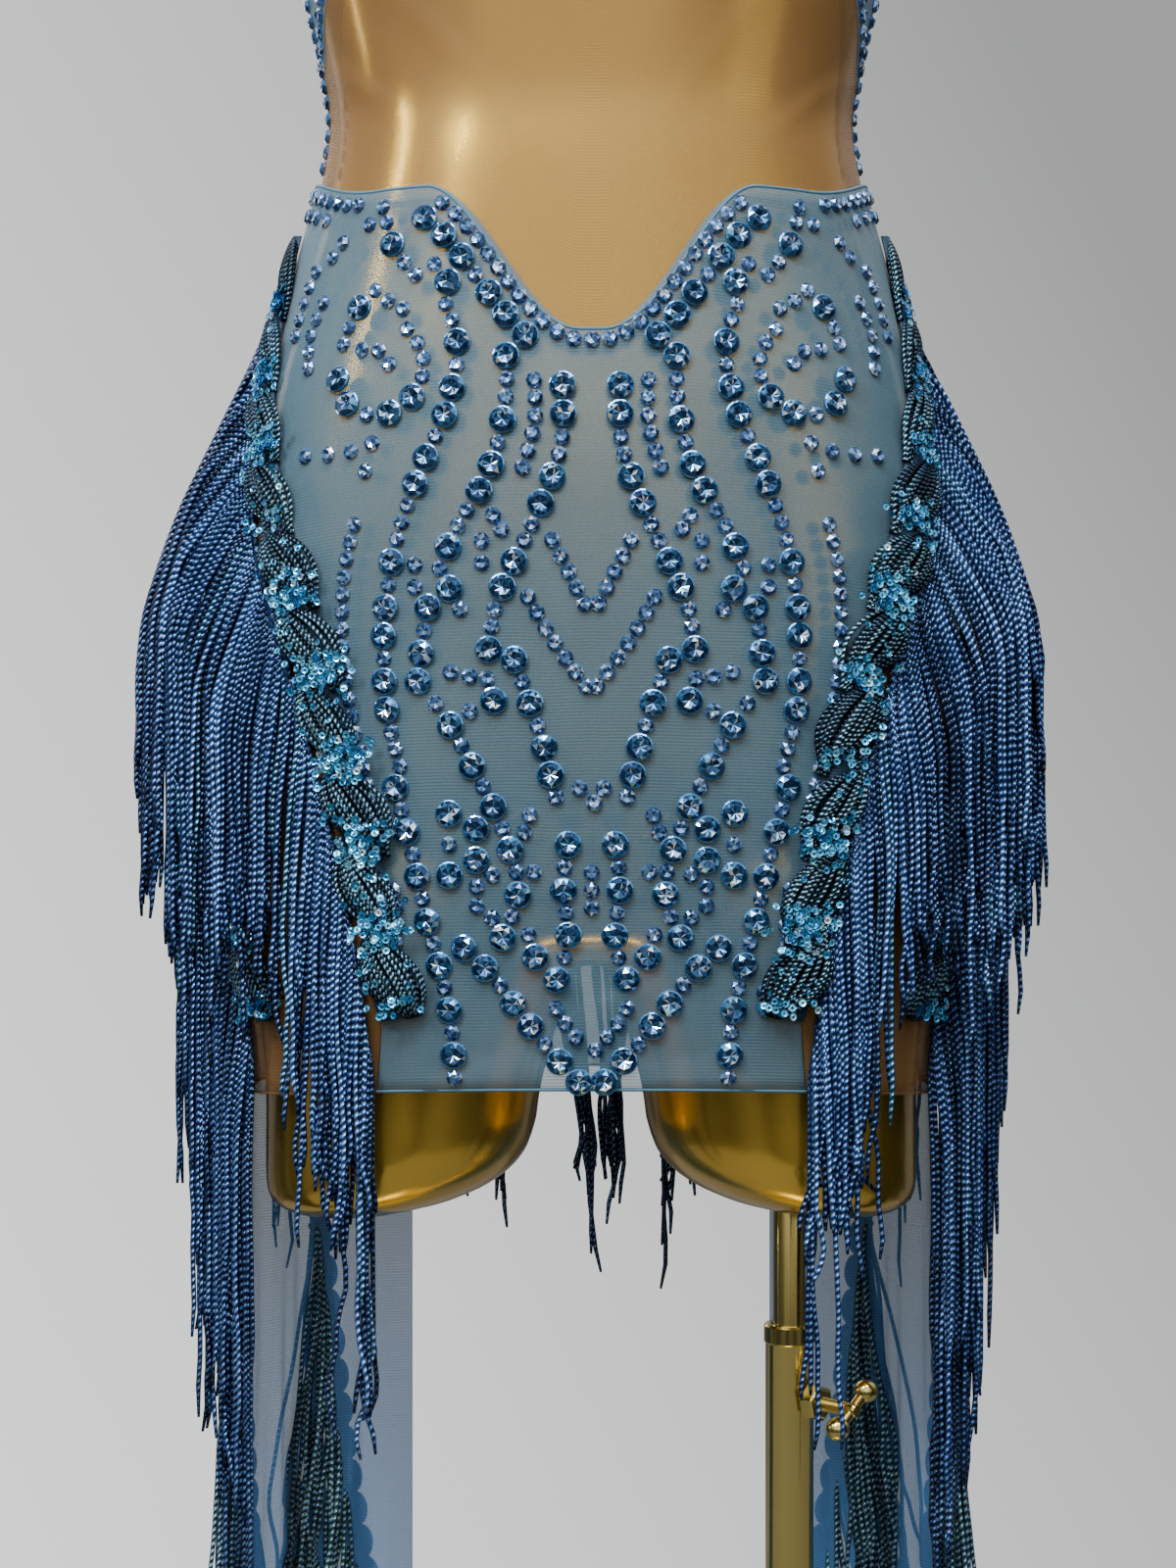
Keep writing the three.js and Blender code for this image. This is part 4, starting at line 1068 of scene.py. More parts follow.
CLUSTER_RING = 9.4
print(len(STONE_ROWS), "mixed rows and", len(SMALL_ROWS), "small ones on each half")


# %% Rows, scrolls and rings
def strung(points, beads):
    """Stones in a row: the middle of each, and whether it is large."""
    line, length = smooth_line(points)
    places, along_row, i = [], 0.0, 0
    while True:
        large = beads[i % len(beads)] == "L"
        room = LARGE_ROOM if large else SMALL_ROOM
        if along_row + room / 2 > length[-1]:
            return places
        x, up = at_length(line, length, along_row + room / 2)
        places.append((float(x), float(up), large))
        along_row += room
        i += 1


def edge_row(beads, below, first, last):
    """Stones a fixed distance below the front edge."""
    x = np.linspace(first, last, 12)
    angle = angle_at(x, PEAK)
    rise = np.gradient(front_edge(angle), x)
    lean = np.sqrt(1 + rise ** 2)
    return strung(np.stack([x + below * rise / lean, front_edge(angle) - HEM - below / lean], axis=-1), beads)


def scroll_points():
    """A spiral, from its inner end."""
    share = np.linspace(0, 1, 13)
    turn = 2 * np.pi * SCROLL["turns"] * share
    radius = mix(SCROLL["inner"], SCROLL["outer"], share)
    return np.stack([SCROLL["x"] - radius * np.cos(turn), SCROLL["up"] + radius * np.sin(turn)], axis=-1)


def ring_of(x, up, radius, count, large):
    """Stones evenly round a point."""
    turns = 2 * np.pi * (np.arange(count) + 0.5) / count
    return [(x + radius * math.cos(turn), up + radius * math.sin(turn), large) for turn in turns]


print("the scroll has", len(strung(scroll_points(), SCROLL["beads"])), "stones")


# %% The layout of one half
def stone_places():
    """All the places of one half. Where two are too close, the later one gives way."""
    places = [place for row in EDGE_ROWS for place in edge_row(*row)]
    places += [place for beads, points in STONE_ROWS for place in strung(points, beads)]
    places += strung(scroll_points(), SCROLL["beads"])
    places += ring_of(ROSETTE["x"], ROSETTE["up"], ROSETTE["ring"], ROSETTE["petals"], True)
    places = [place for place in places if place[2]] + [place for place in places if not place[2]]
    places.append((ROSETTE["x"], ROSETTE["up"], False))
    for x, up, count in CLUSTERS:
        places += ring_of(x, up, CLUSTER_RING, count, False)
    for points in SMALL_ROWS:
        places += strung(points, "s")
    places += [(x, up, False) for x, up in LONE_STONES]
    kept = []
    for x, up, large in places:
        room = [math.hypot(x - a, up - b) - APART[large + c] for a, b, c in kept]
        if min(room, default=1) >= 0:
            kept.append((x, up, large))
    return kept


def seats_of(places, wanted):
    """Angles and heights of the large or the small stones, for both halves of the skirt."""
    half = np.array([(x, HEM + up) for x, up, large in places if large == wanted])
    both = np.concatenate([half, half[np.abs(half[:, 0]) > 2] * (-1, 1)])
    return angle_at(both[:, 0], both[:, 1]), both[:, 1]


places = stone_places()
large_seats = seats_of(places, True)
small_seats = seats_of(places, False)
print("skirt:", len(large_seats[0]), "large stones,", len(small_seats[0]), "small")


# %% Rows on seams
def row_along(angles, levels, face, pitch=SMALL_ROOM):
    """Small stones at even steps along a line on the figure."""
    line = np.stack([angles, levels, np.full(len(angles), face)], axis=-1)
    gaps = np.linalg.norm(np.diff(body(angles, levels, face), axis=0), axis=1)
    length = np.concatenate([[0], np.cumsum(gaps)])
    return at_length(line, length, np.arange(pitch / 2, length[-1], pitch))


SEAM_DOWN, SECOND_DOWN, SECOND_PITCH = 5.5, 14, 11  # two rows below the waist seam, the second looser
SIDE_LOW, SIDE_HIGH = 1072, 1292  # the rows up the bodice's sides
seam_rows = []
for side in (1, -1):
    waist = side * np.linspace(47, 83, 60)
    seam_rows.append(row_along(waist, front_edge(waist) - SEAM_DOWN, SKIRT_FACE))
    outer = waist[18:]
    seam_rows.append(row_along(outer, front_edge(outer) - SECOND_DOWN, SKIRT_FACE, SECOND_PITCH))
    levels = np.linspace(SIDE_LOW, SIDE_HIGH, 90)
    seam_rows.append(row_along(side * mix(81.5, 80, ease(levels, SIDE_LOW, TOP_SIDE)), levels, BODICE_FACE))
    rising = side * np.linspace(80, 0, 160)
    seam_rows.append(row_along(rising, arch(rising) + SEAM_DOWN, BODICE_FACE))
seam_stones = np.concatenate(seam_rows)
print(len(seam_stones), "stones along the seams")


# %% [markdown]
# A large stone is a cup, a narrow bevel, sixteen facets and a star that is sunk in the table. The
# sunk star stands for the facets of its back, which show through the glass. A small stone is flat
# behind and has eight facets.

# %% The cut of a stone
def ring_points(count, radius, height, offset=0.0):
    """Points evenly round a circle; offset turns them by a share of a step."""
    turn = 2 * np.pi * (np.arange(count) + offset) / count
    return np.stack([radius * np.cos(turn), radius * np.sin(turn), np.full(count, height)], axis=-1)


RIM, CROWN, STAR = 0, 1, 2  # kinds of facet


def large_cut():
    """Points, faces and kinds of facet of a large stone."""
    r, high = LARGE_R, LARGE_HIGH
    points = np.concatenate([
        ring_points(16, r * 0.97, 0), ring_points(16, r, 1.3), ring_points(16, r * 0.9, 1.6),
        ring_points(8, r * 0.6, high * 0.94), ring_points(8, r * 0.36, high * 0.86, 0.5),
        [(0, 0, high * 0.56)]])
    cup, rim, edge, table, star, heart = 0, 16, 32, 48, 56, 64
    faces, kinds = [tuple(range(15, -1, -1))], [RIM]
    for i in range(16):
        j = (i + 1) % 16
        faces += [(cup + i, cup + j, rim + j, rim + i), (rim + i, rim + j, edge + j, edge + i)]
        kinds += [RIM, RIM]
    for i in range(8):
        j = (i + 1) % 8
        low, middle, high_edge = edge + 2 * i, edge + 2 * i + 1, edge + (2 * i + 2) % 16
        faces += [(low, middle, table + i), (middle, table + j, table + i), (middle, high_edge, table + j)]
        faces += [(table + i, table + j, star + i)]
        faces += [(table + i, star + i, heart), (star + i, table + j, heart)]
        kinds += [CROWN, CROWN, CROWN, STAR, STAR, STAR]
    return points, faces, kinds


def small_cut():
    """Points, faces and kinds of facet of a small stone."""
    r, high = SMALL_R, SMALL_HIGH
    points = np.concatenate([ring_points(8, r * 0.96, 0), ring_points(8, r, 0.7),
                             ring_points(8, r * 0.6, high, 0.5), [(0, 0, high * 0.84)]])
    faces, kinds = [tuple(range(7, -1, -1))], [RIM]
    for i in range(8):
        j = (i + 1) % 8
        faces += [(i, j, 8 + j, 8 + i), (8 + i, 8 + j, 16 + i), (8 + j, 16 + j, 16 + i), (16 + i, 16 + j, 24)]
        kinds += [RIM, CROWN, CROWN, STAR]
    return points, faces, kinds


print("a large stone has", len(large_cut()[1]), "faces, a small one", len(small_cut()[1]))


# %% Tones of facets, with painted reflections
def facet_tones_and_painted_reflections(kinds, copies, shares):
    """A tone for each facet of each stone: dark, middling or bright, which paint the reflections of the
    room and of a lamp over the stone's own blue. shares gives the shares of dark and middling for each
    kind of facet; the rim always has a tone of its own."""
    kinds = np.tile(kinds, copies)
    pick = rng.random(len(kinds))
    level = rng.random(len(kinds))
    dark, middling = np.array(shares)[kinds].T
    # painted reflections: dark facets stand for the room, bright ones for a lamp
    tones = np.where(pick < dark, 0.02 + 0.3 * level,
                     np.where(pick < dark + middling, 0.4 + 0.3 * level, 0.82 + 0.18 * level))
    return np.where(kinds == RIM, 0.48 + 0.16 * level, tones)


LARGE_SHARES = [(0, 1), (0.68, 0.22), (0.62, 0.22)]  # rim, crown, star: share of dark, of middling
SMALL_SHARES = [(0, 1), (0.52, 0.38), (0.36, 0.46)]
print("bright facets of a large stone's crown:", round(1 - sum(LARGE_SHARES[CROWN]), 2))


# %% Setting copies of a small thing
STONE_TILT = 0.06  # how unevenly stones are set


def frames_on(normals, tilt):
    """Directions for things that stand on a surface: turned at random, and leaning a little."""
    count = len(normals)
    lean = unit(normals + rng.normal(0, tilt, (count, 3)))
    aside = unit(np.cross(lean, (0.13, 0.21, 1.0)))
    upright = np.cross(lean, aside)
    turn = rng.uniform(0, 2 * np.pi, count)[:, None]
    first = np.cos(turn) * aside + np.sin(turn) * upright
    return np.stack([first, np.cross(lean, first), lean], axis=1)


def scatter(name, seats, frames, shape, tones):
    """Copies of one shape as one mesh with flat faces."""
    points, faces = shape
    placed = seats[:, None, :] + np.einsum("pk,nkx->npx", points, frames)
    copies = [tuple(corner + k * len(points) for corner in face) for k in range(len(seats)) for face in faces]
    return mesh_object(name, placed, copies, face_tones=tones, smooth=False)


def set_stones(name, angles, levels, out, cut, shares, paint):
    """Stones at these angles and levels, this far out from the figure."""
    points, faces, kinds = cut
    seats = body(angles, levels, out)
    frames = frames_on(skin_frame(angles, levels)[2], STONE_TILT)
    tones = facet_tones_and_painted_reflections(kinds, len(seats), shares)
    finish_piece(scatter(name, seats, frames, (points, faces), tones), paint)


seat_height = SKIRT_FACE + crease(*large_seats)
set_stones("large_stones", *large_seats, seat_height, large_cut(), LARGE_SHARES, STONE)
angles = np.concatenate([small_seats[0], seam_stones[:, 0]])
levels = np.concatenate([small_seats[1], seam_stones[:, 1]])
seat_height = np.concatenate([np.full(len(small_seats[0]), SKIRT_FACE), seam_stones[:, 2]])
seat_height = seat_height + crease(angles, levels)
set_stones("small_stones", angles, levels, seat_height, small_cut(), SMALL_SHARES, SMALL_STONE)
print("stones set")

# %% [markdown]
# ## Fringe
#
# Each trim is cord looped back and forth and pinched into leaf-shaped lobes, with a knot of sequins
# at every pinch. Its fringe hangs from the outer side. Hair particles could grow it, but they can't
# be told where to lie and don't export. So each cord is a tube along a path worked out from its
# drop: it leaves the trim, passes over the trims below, hangs from the hip, drifts into a bundle
# with its neighbours and ends unevenly.

# %% The trims
TRIM = 6  # the back of a trim, from the figure
LAYER = 6.2  # how deep the hanging cords of one trim lie over each other
CORD_R = 1.15
# "wide" and "thick" are a lobe's, "taper" is how much narrower the trim's upper end is, and "sequins" the
# number at a knot. The cords gather in a "bundle" of about so many, and "pull" draws them together by a
# share. "straight" is how nearly a cord hangs below the place where it is sewn. No cord hangs nearer to
# the front than "from", and between the two angles of "thin" some are left out. "path" holds angles and
# heights. "fall" and "lengths" say, by angle, how far out a cord hangs and how long it is, and "uneven"
# is how much the lengths differ.
TRIMS = [
    {"name": "first", "lobes": 10, "wide": 31, "thick": 9, "taper": 0.5, "sequins": 60,
     "strands": 250, "bundle": 5, "pull": 0.8, "straight": 0.75, "thin": (40, 50),
     "path": [(25.5, 697), (29.5, 745), (35.5, 800), (41.5, 848), (49, 886), (58, 924), (66.5, 962),
              (75, 1006), (80, 1042)],
     "fall": [(25, 10), (46, 12), (56, 25), (66, 35), (80, 42)],
     "lengths": [(25, 85), (28, 92), (31, 115), (36, 150), (41, 160), (46, 140), (52, 145), (60, 190),
                 (80, 212)]},
    {"name": "second", "lobes": 9, "wide": 30, "thick": 9, "taper": 0.4, "sequins": 56,
     "strands": 200, "bundle": 7, "pull": 0.75, "straight": 0.62, "from": 58,
     "path": [(61, 694), (67, 750), (78, 845), (92, 938), (108, 1010)],
     "fall": [(55, 10), (84, 12), (96, 24), (115, 30)],
     "lengths": [(61, 228), (84, 240), (108, 230)]},
    {"name": "third", "lobes": 6, "wide": 20, "thick": 6, "sequins": 20,
     "strands": 85, "bundle": 7, "pull": 0.4,
     "path": [(97, 775), (105, 860), (114, 950), (124, 1020)],
     "fall": [(90, 11), (108, 13), (117, 28), (128, 28)],
     "lengths": [(97, 214), (124, 210)]},
    {"name": "fourth", "lobes": 5, "wide": 20, "thick": 6, "sequins": 18,
     "strands": 80, "bundle": 8, "pull": 0.5,
     "path": [(119, 826), (127, 855), (141, 893), (156, 920)],
     "fall": [(105, 15), (160, 13)],
     "lengths": [(119, 218), (156, 218)]},
]
BACK_TRIM = {
    "name": "back", "lobes": 5, "wide": 20, "thick": 6, "sequins": 18,
    "strands": 84, "bundle": 14, "pull": 0.82, "uneven": 0.04,
    "path": [(160, 822), (170, 813), (180, 810), (190, 813), (200, 822)],
    "fall": [(150, 11), (210, 11)],
    "lengths": [(160, 202), (200, 202)]}
SPREAD = [
    # height, how far out the outermost cord may hang there
    (595, 38), (700, 44), (865, 42), (897, 36), (924, 30), (960, 20), (991, 13), (1027, 7.8), (1045, 7),
]
print("trims:", ", ".join(trim["name"] for trim in TRIMS + [BACK_TRIM]))

# %% Places beside a trim
PATH_DEGREE = 2.4  # a path is measured with this many mm to a degree, as round the hips
BESIDE = 0.02  # the path's direction is taken over this share of its length to both sides


def trim_route(path):
    """A function from shares of a path's length to its angle and height."""
    line, length = smooth_line([(angle * PATH_DEGREE, z) for angle, z in path])

    def route(share):
        place = at_length(line, length, np.clip(share, 0, 1) * length[-1])
        return place[..., 0] / PATH_DEGREE, place[..., 1]
    return route


def on_skirt(side, angle, z, out):
    """A place on the figure; side is 1 on its left and -1 on its right."""
    return body(side * angle, z, out)


def offset_from(route, side, place, base):
    """A function that finds points beside a trim's path: at a share of its length, this far towards
    its outer side and this far out from its back."""
    def at(share, aside, out):
        share, aside, out = np.broadcast_arrays(*(np.asarray(value, float) for value in (share, aside, out)))
        angle, z = route(share)
        ahead, behind = route(share + BESIDE), route(share - BESIDE)
        forward = unit(place(side, *ahead, base) - place(side, *behind, base))
        around = place(side, angle + 0.5, z, base) - place(side, angle - 0.5, z, base)
        up = place(side, angle, z + 0.5, base) - place(side, angle, z - 0.5, base)
        normal = unit(np.cross(around, up)) * side
        outer = -side * np.cross(normal, forward)
        turn = aside * np.sum(outer * around, axis=-1) / np.sum(around ** 2, axis=-1)
        rise = aside * np.sum(outer * up, axis=-1) / np.sum(up ** 2, axis=-1)
        return place(side, angle + turn, z + rise, base + out), normal
    return at


first_path = trim_route(TRIMS[0]["path"])
print("angle and height of the first trim's middle:", np.round(first_path(0.5), 1))

# %% [markdown]
# A lobe is a leaf of cords. They start together at a pinch on the trim's outer side, bulge over a
# core, and meet again at the next pinch towards the inner side, so the lobes overlap like shingles
# along a wave. Two layers of cord over a dark ribbon leave no hole to see through.

# %% Lobes
LOBE_STEPS = 13
LOBE_FROM, LOBE_TO = -0.22, 1.16  # a lobe's cords run on a little past both of its pinches
PINCHED = 0.14  # a lobe's width at a pinch
LOOP_R = 1.05
LOOPS_A_MM = 0.5  # cords across the outer layer, for each mm of the trim's width
LOOP_LAYERS = ((1.0, 1.0), (0.5, 0.7))  # height of a layer and its share of cords
LEAN_FROM, LEAN_TO = 0.36, -0.44  # from the trim's outer side to its inner side
EDGE_HIGH = 0.22  # how much of its height a lobe keeps at its edges
OVERLAP = 1.6  # a lobe's first end lies this much over the next lobe's last end


def tapered(trim, share):
    """A trim's width and height at a share of its length: its upper end is narrower."""
    return 1 - trim.get("taper", 0.0) * ease(share, 0.55, 1.0)


def lobe_paths(trim, at):
    """The cords of all lobes of one trim: their paths and their outward directions."""
    s = np.linspace(LOBE_FROM, LOBE_TO, LOBE_STEPS)
    inside = np.clip(s, 0, 1)
    width = PINCHED + (1 - PINCHED) * np.sin(np.pi * inside) ** 0.8
    cords = int(trim["wide"] * LOOPS_A_MM)
    paths, outwards = [], []
    for lobe in range(trim["lobes"]):
        share = (lobe + 1 - s) / trim["lobes"]
        size = tapered(trim, (lobe + 0.5) / trim["lobes"]) * rng.uniform(0.9, 1.08)
        half, thick = trim["wide"] / 2 * size, trim["thick"] * size
        sway = rng.normal(0, 0.08)
        for layer, part in LOOP_LAYERS:
            count = int(cords * part)
            for k in range(count):
                w = (2 * (k + 0.5) / count - 1) * 0.96  # the cord's place across the lobe, -1 to 1
                slant = mix(LEAN_FROM + sway, LEAN_TO + sway, inside) * half
                wobble = rng.normal(0, 0.6) + rng.normal(0, 0.8) * np.sin(np.pi * inside)
                aside = w * half * width * 0.86 + slant + wobble
                dome = math.sqrt(1 - w * w) * width
                out = thick * layer * (EDGE_HIGH + (1 - EDGE_HIGH) * dome) + rng.normal(0, 0.25)
                out = out + OVERLAP * (1 - inside) - 0.6
                points, normal = at(share, aside, np.maximum(out, 0.4))
                paths.append(points)
                outwards.append(normal[LOBE_STEPS // 2])
    return np.array(paths), np.array(outwards)


def ribbon(trim, at):
    """The ribbon that the cords are sewn to, as outer and inner points."""
    share = np.linspace(0, 1, trim["lobes"] * 8 + 1)[:, None]
    across = np.linspace(1, -1, 5)[None, :]
    waves = 0.8 + 0.2 * np.abs(np.sin(np.pi * share * trim["lobes"]))
    half = trim["wide"] * 0.26 * tapered(trim, share) * waves
    crowned = 1.0 + trim["thick"] * 0.28 * (1 - across ** 2)
    outer = at(share, across * half, crowned)[0]
    inner = at(share, across * half, 0.2 + 0 * crowned)[0]
    return outer, inner


print("the outer layer of the first trim's lobes has", int(TRIMS[0]["wide"] * LOOPS_A_MM), "cords")

# %% [markdown]
# A hanging cord keeps three things of its own: where it leaves the trim, how long it is and how it
# wanders. What it shares with its neighbours makes it look like fringe: they hang from the same hip,
# and they cling together in bundles that drift apart further down.

# %% Bundles and waves
SETTLED = 190  # this far below the trim, a cord hangs where its bundle does


def hanging(side, angle, z, root, out):
    """Where a hanging cord is at a height: on the fullest level between there and its root."""
    level = np.where(z > HIP, z, np.minimum(HIP, root))
    points = body(side * angle, level, out)
    points[..., 2] = z
    return points


def bundled(values, size, pull, sway):
    """Each value drawn towards the mean of its bundle, and each bundle moved aside a little."""
    count = len(values)
    starts = np.cumsum(rng.integers(max(size - 2, 2), size + 3, count))
    group = np.searchsorted(starts, np.arange(count), side="right")
    means = np.bincount(group, values) / np.maximum(np.bincount(group), 1)
    together = (means[group] - values) * pull * rng.uniform(0.5, 1.4, count)
    return together + rng.normal(0, sway, count)[group]


def wander(drop, count, ends):
    """Small sideways waves that grow down a cord, and the curl of its end, in mm."""
    phase, turn = rng.uniform(0, 2 * np.pi, (2, count, 1))
    wave = rng.uniform(70, 150, (count, 1))
    size = rng.gamma(2.0, 0.8, (count, 1))
    curl = rng.gamma(1.2, 2.0, (count, 1)) * rng.choice((-1, 1), (count, 1))
    tail = ease(drop, ends - 38, ends + 6)
    slow = size * ease(drop, 15, SETTLED) * np.sin(2 * np.pi * drop / wave + phase)
    quick = 0.35 * size * ease(drop, 60, 200) * np.sin(2 * np.pi * drop / (wave * 0.31) + turn)
    return slow + quick + curl * tail * np.sin((drop - ends) / 11 + phase)


print("bundles are together", SETTLED, "mm below the trim")

# %% Roots and lengths of strands
SEWN_AT = 0.4  # of the trim's width, from its middle towards its outer side
ASIDE_AT_TRIM, ASIDE_BELOW = 0.3, 0.25  # the same for a cord that passes the trim, and for one that hangs
LOW_END = 33  # up to this angle a trim is at its lowest, and more of its cords are long ones
LONG_SHARES, LONG_TIMES = (0.16, 0.06), (1.75, 1.16)  # at the low end, and elsewhere


def strand_roots(trim, route):
    """Where along its trim each cord is sewn, as a share, and the angle at which it hangs."""
    count = trim["strands"]
    share = np.clip((np.arange(count) + rng.uniform(-0.4, 1.4, count)) / count, 0, 1)
    angle = mix(trim["path"][0][0], trim["path"][-1][0], share)
    fine = np.linspace(0, 1, 300)
    sewn = mix(np.interp(angle, route(fine)[0], fine), share, 0.35)
    angle = mix(angle, route(sewn)[0], trim.get("straight", 0.5)) + ASIDE_BELOW * trim["wide"] / PATH_DEGREE
    return sewn, np.maximum(angle, trim.get("from", 0))


def strand_lengths(trim, angle):
    """How long each cord is. A few are much longer than their neighbours."""
    lengths = along(trim["lengths"], 1, angle) * rng.normal(1, trim.get("uneven", 0.1), len(angle))
    long_one = rng.random(len(angle)) < np.where(angle < LOW_END, *LONG_SHARES)
    return np.where(long_one, lengths * np.where(angle < LOW_END, *LONG_TIMES), lengths)


print("in front, one cord in", round(1 / LONG_SHARES[0]), "is a long one")

# %% Paths of strands
THIN_KEPT = 0.55  # the share of cords that is kept where a trim is thin
LEAD = 26  # this far below the trim, a cord has gone over into its fall


def strand_paths(trim, side, steps):
    """Paths, outward directions and layers of a trim's fringe."""
    route = trim_route(trim["path"])
    at = offset_from(route, side, on_skirt, TRIM)
    count = trim["strands"]
    sewn, angle = strand_roots(trim, route)
    start = at(sewn, trim["wide"] * SEWN_AT * tapered(trim, sewn), 2.0)[0]
    root_angle, root_z = route(sewn)
    ends = strand_lengths(trim, angle)[:, None]
    drop = np.linspace(0, 1, steps)[None, :] ** 1.1 * ends
    z = start[:, 2:] - drop
    layer = rng.beta(1.1, 1.5, (count, 1))
    out = along(trim["fall"], 1, angle)[:, None] - 1 + layer * (LAYER + 3.0)
    room = along(SPREAD, 1, z) - (1 - layer) * LAYER
    out = np.minimum(mix(TRIM + 2.0, out, ease(drop, 0, 80)), np.maximum(room, TRIM + 1.5))
    passing = root_angle + ASIDE_AT_TRIM * trim["wide"] / PATH_DEGREE
    turn = mix(passing[:, None], angle[:, None], ease(drop, 0, 90))
    turn = turn + bundled(angle, trim["bundle"], trim["pull"], 1.3)[:, None] * ease(drop, 25, SETTLED)
    paths = hanging(side, turn, z, root_z[:, None], out)
    lead = 1 - ease(drop, 0, LEAD)
    paths = mix(paths, start[:, None, :] - (0, 0, 1) * drop[..., None], lead[..., None])
    outward = unit(skin_frame(side * angle, np.minimum(root_z, HIP))[2] * (1, 1, 0))
    aside = np.cross(outward, (0, 0, 1.0))
    paths = paths + aside[:, None, :] * wander(drop, count, ends)[..., None]
    paths = paths + outward[:, None, :] * (0.3 * np.abs(wander(drop, count, ends)))[..., None]
    low, high = trim.get("thin", (0, 0))
    kept = (angle < low) | (angle > high) | (rng.random(count) < THIN_KEPT)
    return paths[kept], outward[kept], layer[kept, 0]


print("where a trim is thin,", THIN_KEPT, "of its cords stay")

# %% Tones of cords
LOCK = 5  # neighbours that share a shade


def cord_tones(count, layer=None):
    """Most cords are the same blue. Some locks are darker, and single cords are lighter or greener.
    A cord's layer, from 0 next to the figure to 1 outside, paints shade on the ones that lie deep, as if the
    outer cords shadowed them."""
    lock = np.repeat(rng.normal(0, 0.16, count), LOCK)[:count]
    tones = rng.normal(0.46, 0.17, count) + lock
    if layer is not None:
        # painted shade: the deeper a cord lies, the darker its tone
        tones = tones * (0.15 + 1.0 * layer ** 0.7)
    tones = np.where(rng.random(count) < 0.12, tones + 0.35, tones)
    return np.where(rng.random(count) < 0.06, 1.0, np.clip(tones, 0, 0.88))


print("shades are shared by locks of", LOCK)


# %% Strewing sequins
def sequin_shape():
    """A small cupped disc with a hole."""
    points = np.concatenate([ring_points(8, 1.75, 0.22), ring_points(8, 1.1, 0.0), ring_points(8, 0.5, 0.1)])
    faces = []
    for ring in (0, 8):
        for i in range(8):
            j = (i + 1) % 8
            faces.append((ring + i, ring + j, ring + 8 + j, ring + 8 + i))
    return points, faces


sequins = {1: [], -1: []}  # points and outward directions of each side's sequins, trim by trim


def strew_sequins(trim, at, side):
    """A knot of sequins at each pinch, and a few over the lobes."""
    full = rng.uniform(0.15, 1.5, trim["lobes"] + 1) * trim["sequins"]
    knots = np.repeat(np.arange(trim["lobes"] + 1), full.astype(int))
    near = (knots + rng.normal(0.08, 0.13, len(knots))) / trim["lobes"]
    aside = rng.normal(-0.14, 0.18, len(knots))
    over = rng.random(int(trim["sequins"] * trim["lobes"] * 0.3))
    share = np.concatenate([near, over])
    aside = np.concatenate([aside, rng.uniform(-0.4, 0.4, len(over))])
    on_trim = (share > 0.005) & (share < 0.93)
    share, aside = share[on_trim], aside[on_trim]
    size = tapered(trim, share)
    high = trim["thick"] * size * np.sqrt(np.maximum(1 - (aside * 1.7) ** 2, 0.15))
    aside = aside * trim["wide"] * size
    points, normal = at(share, aside, high * 0.9 + rng.uniform(0.2, 1.8, len(share)))
    sequins[side].append((points, normal))


print("a sequin has", len(sequin_shape()[1]), "faces")

# %% Sewing the trims on
DULL = (0.4, 0.6, 0.8, 1)  # tint of the ribbon's sheen
RIBBON = material("ribbon", mesh_cloth((0.01, 0.04, 0.08), (0.004, 0.015, 0.04), 1.0, 1.0, DULL))
NEAR_STRANDS = {"first": (29, 5), "second": (26, 4)}  # steps and sides of the cords of the nearest trims
FAR_STRANDS = (24, 4)


def sew_trim(trim, side, node, steps, sides):
    at = offset_from(trim_route(trim["path"]), side, on_skirt, TRIM)
    paths, outward, layer = strand_paths(trim, side, steps)
    strands = tubes(node + "_strands", paths, CORD_R, outward, cord_tones(len(paths), layer), sides=sides)
    finish_piece(strands, CORD, [node])
    loops, outward = lobe_paths(trim, at)
    tones = cord_tones(len(loops))
    lobes = tubes(node + "_lobes", loops, LOOP_R, outward, tones, sides=4, pitch=2.5, tip=1.0)
    finish_piece(lobes, LOOP_CORD)
    backing = shell(node + "_ribbon", *ribbon(trim, at))
    finish_piece(backing, RIBBON)
    strew_sequins(trim, at, side)


SIDES = ((1, "left"), (-1, "right"))
for trim in TRIMS:
    for side, name in SIDES:
        sew_trim(trim, side, f"fringe_{trim['name']}_{name}", *NEAR_STRANDS.get(trim["name"], FAR_STRANDS))
sew_trim(BACK_TRIM, 1, "fringe_back", *FAR_STRANDS)
print(len(TRIMS) * 2 + 1, "trims sewn")

# %% [markdown]
# ## Trains
#
# A train is one long sheer panel on each side, sewn on below the hip. It hangs by its own weight, so
# its folds are pinned at the top and open downwards: three large ones and some small ripples. They
# are shaped from given numbers, because a simulated fall would swing the panel away from the trims laid on
# it.

# %% Trains
TRAIN_FACE, TRAIN_HEM = 7.2, 80  # the cloth's outer face from the figure, and its lower edge's height
TRAIN_FRONT, TRAIN_BACK = 103, 152  # angles of its two edges
TRAIN_TOP_FRONT, TRAIN_TOP_BACK = 768, 866  # heights of its upper edge's two ends
TRAIN_FOLDS, FOLD_ABOVE, FOLD_BELOW = 3, 3, 12  # how many folds, and their depth near the top and lower
RIPPLE = 0.9
TRAIN_COLUMNS, TRAIN_ROWS = 73, 57


def train_top(share):
    return mix(TRAIN_TOP_FRONT, TRAIN_TOP_BACK, share)


def fold_depth(share, z):
    """How deep the folds are at a height: they open downwards."""
    return FOLD_ABOVE * ease(train_top(share) - z, 20, 160) + FOLD_BELOW * ease(-z, -540, -100)


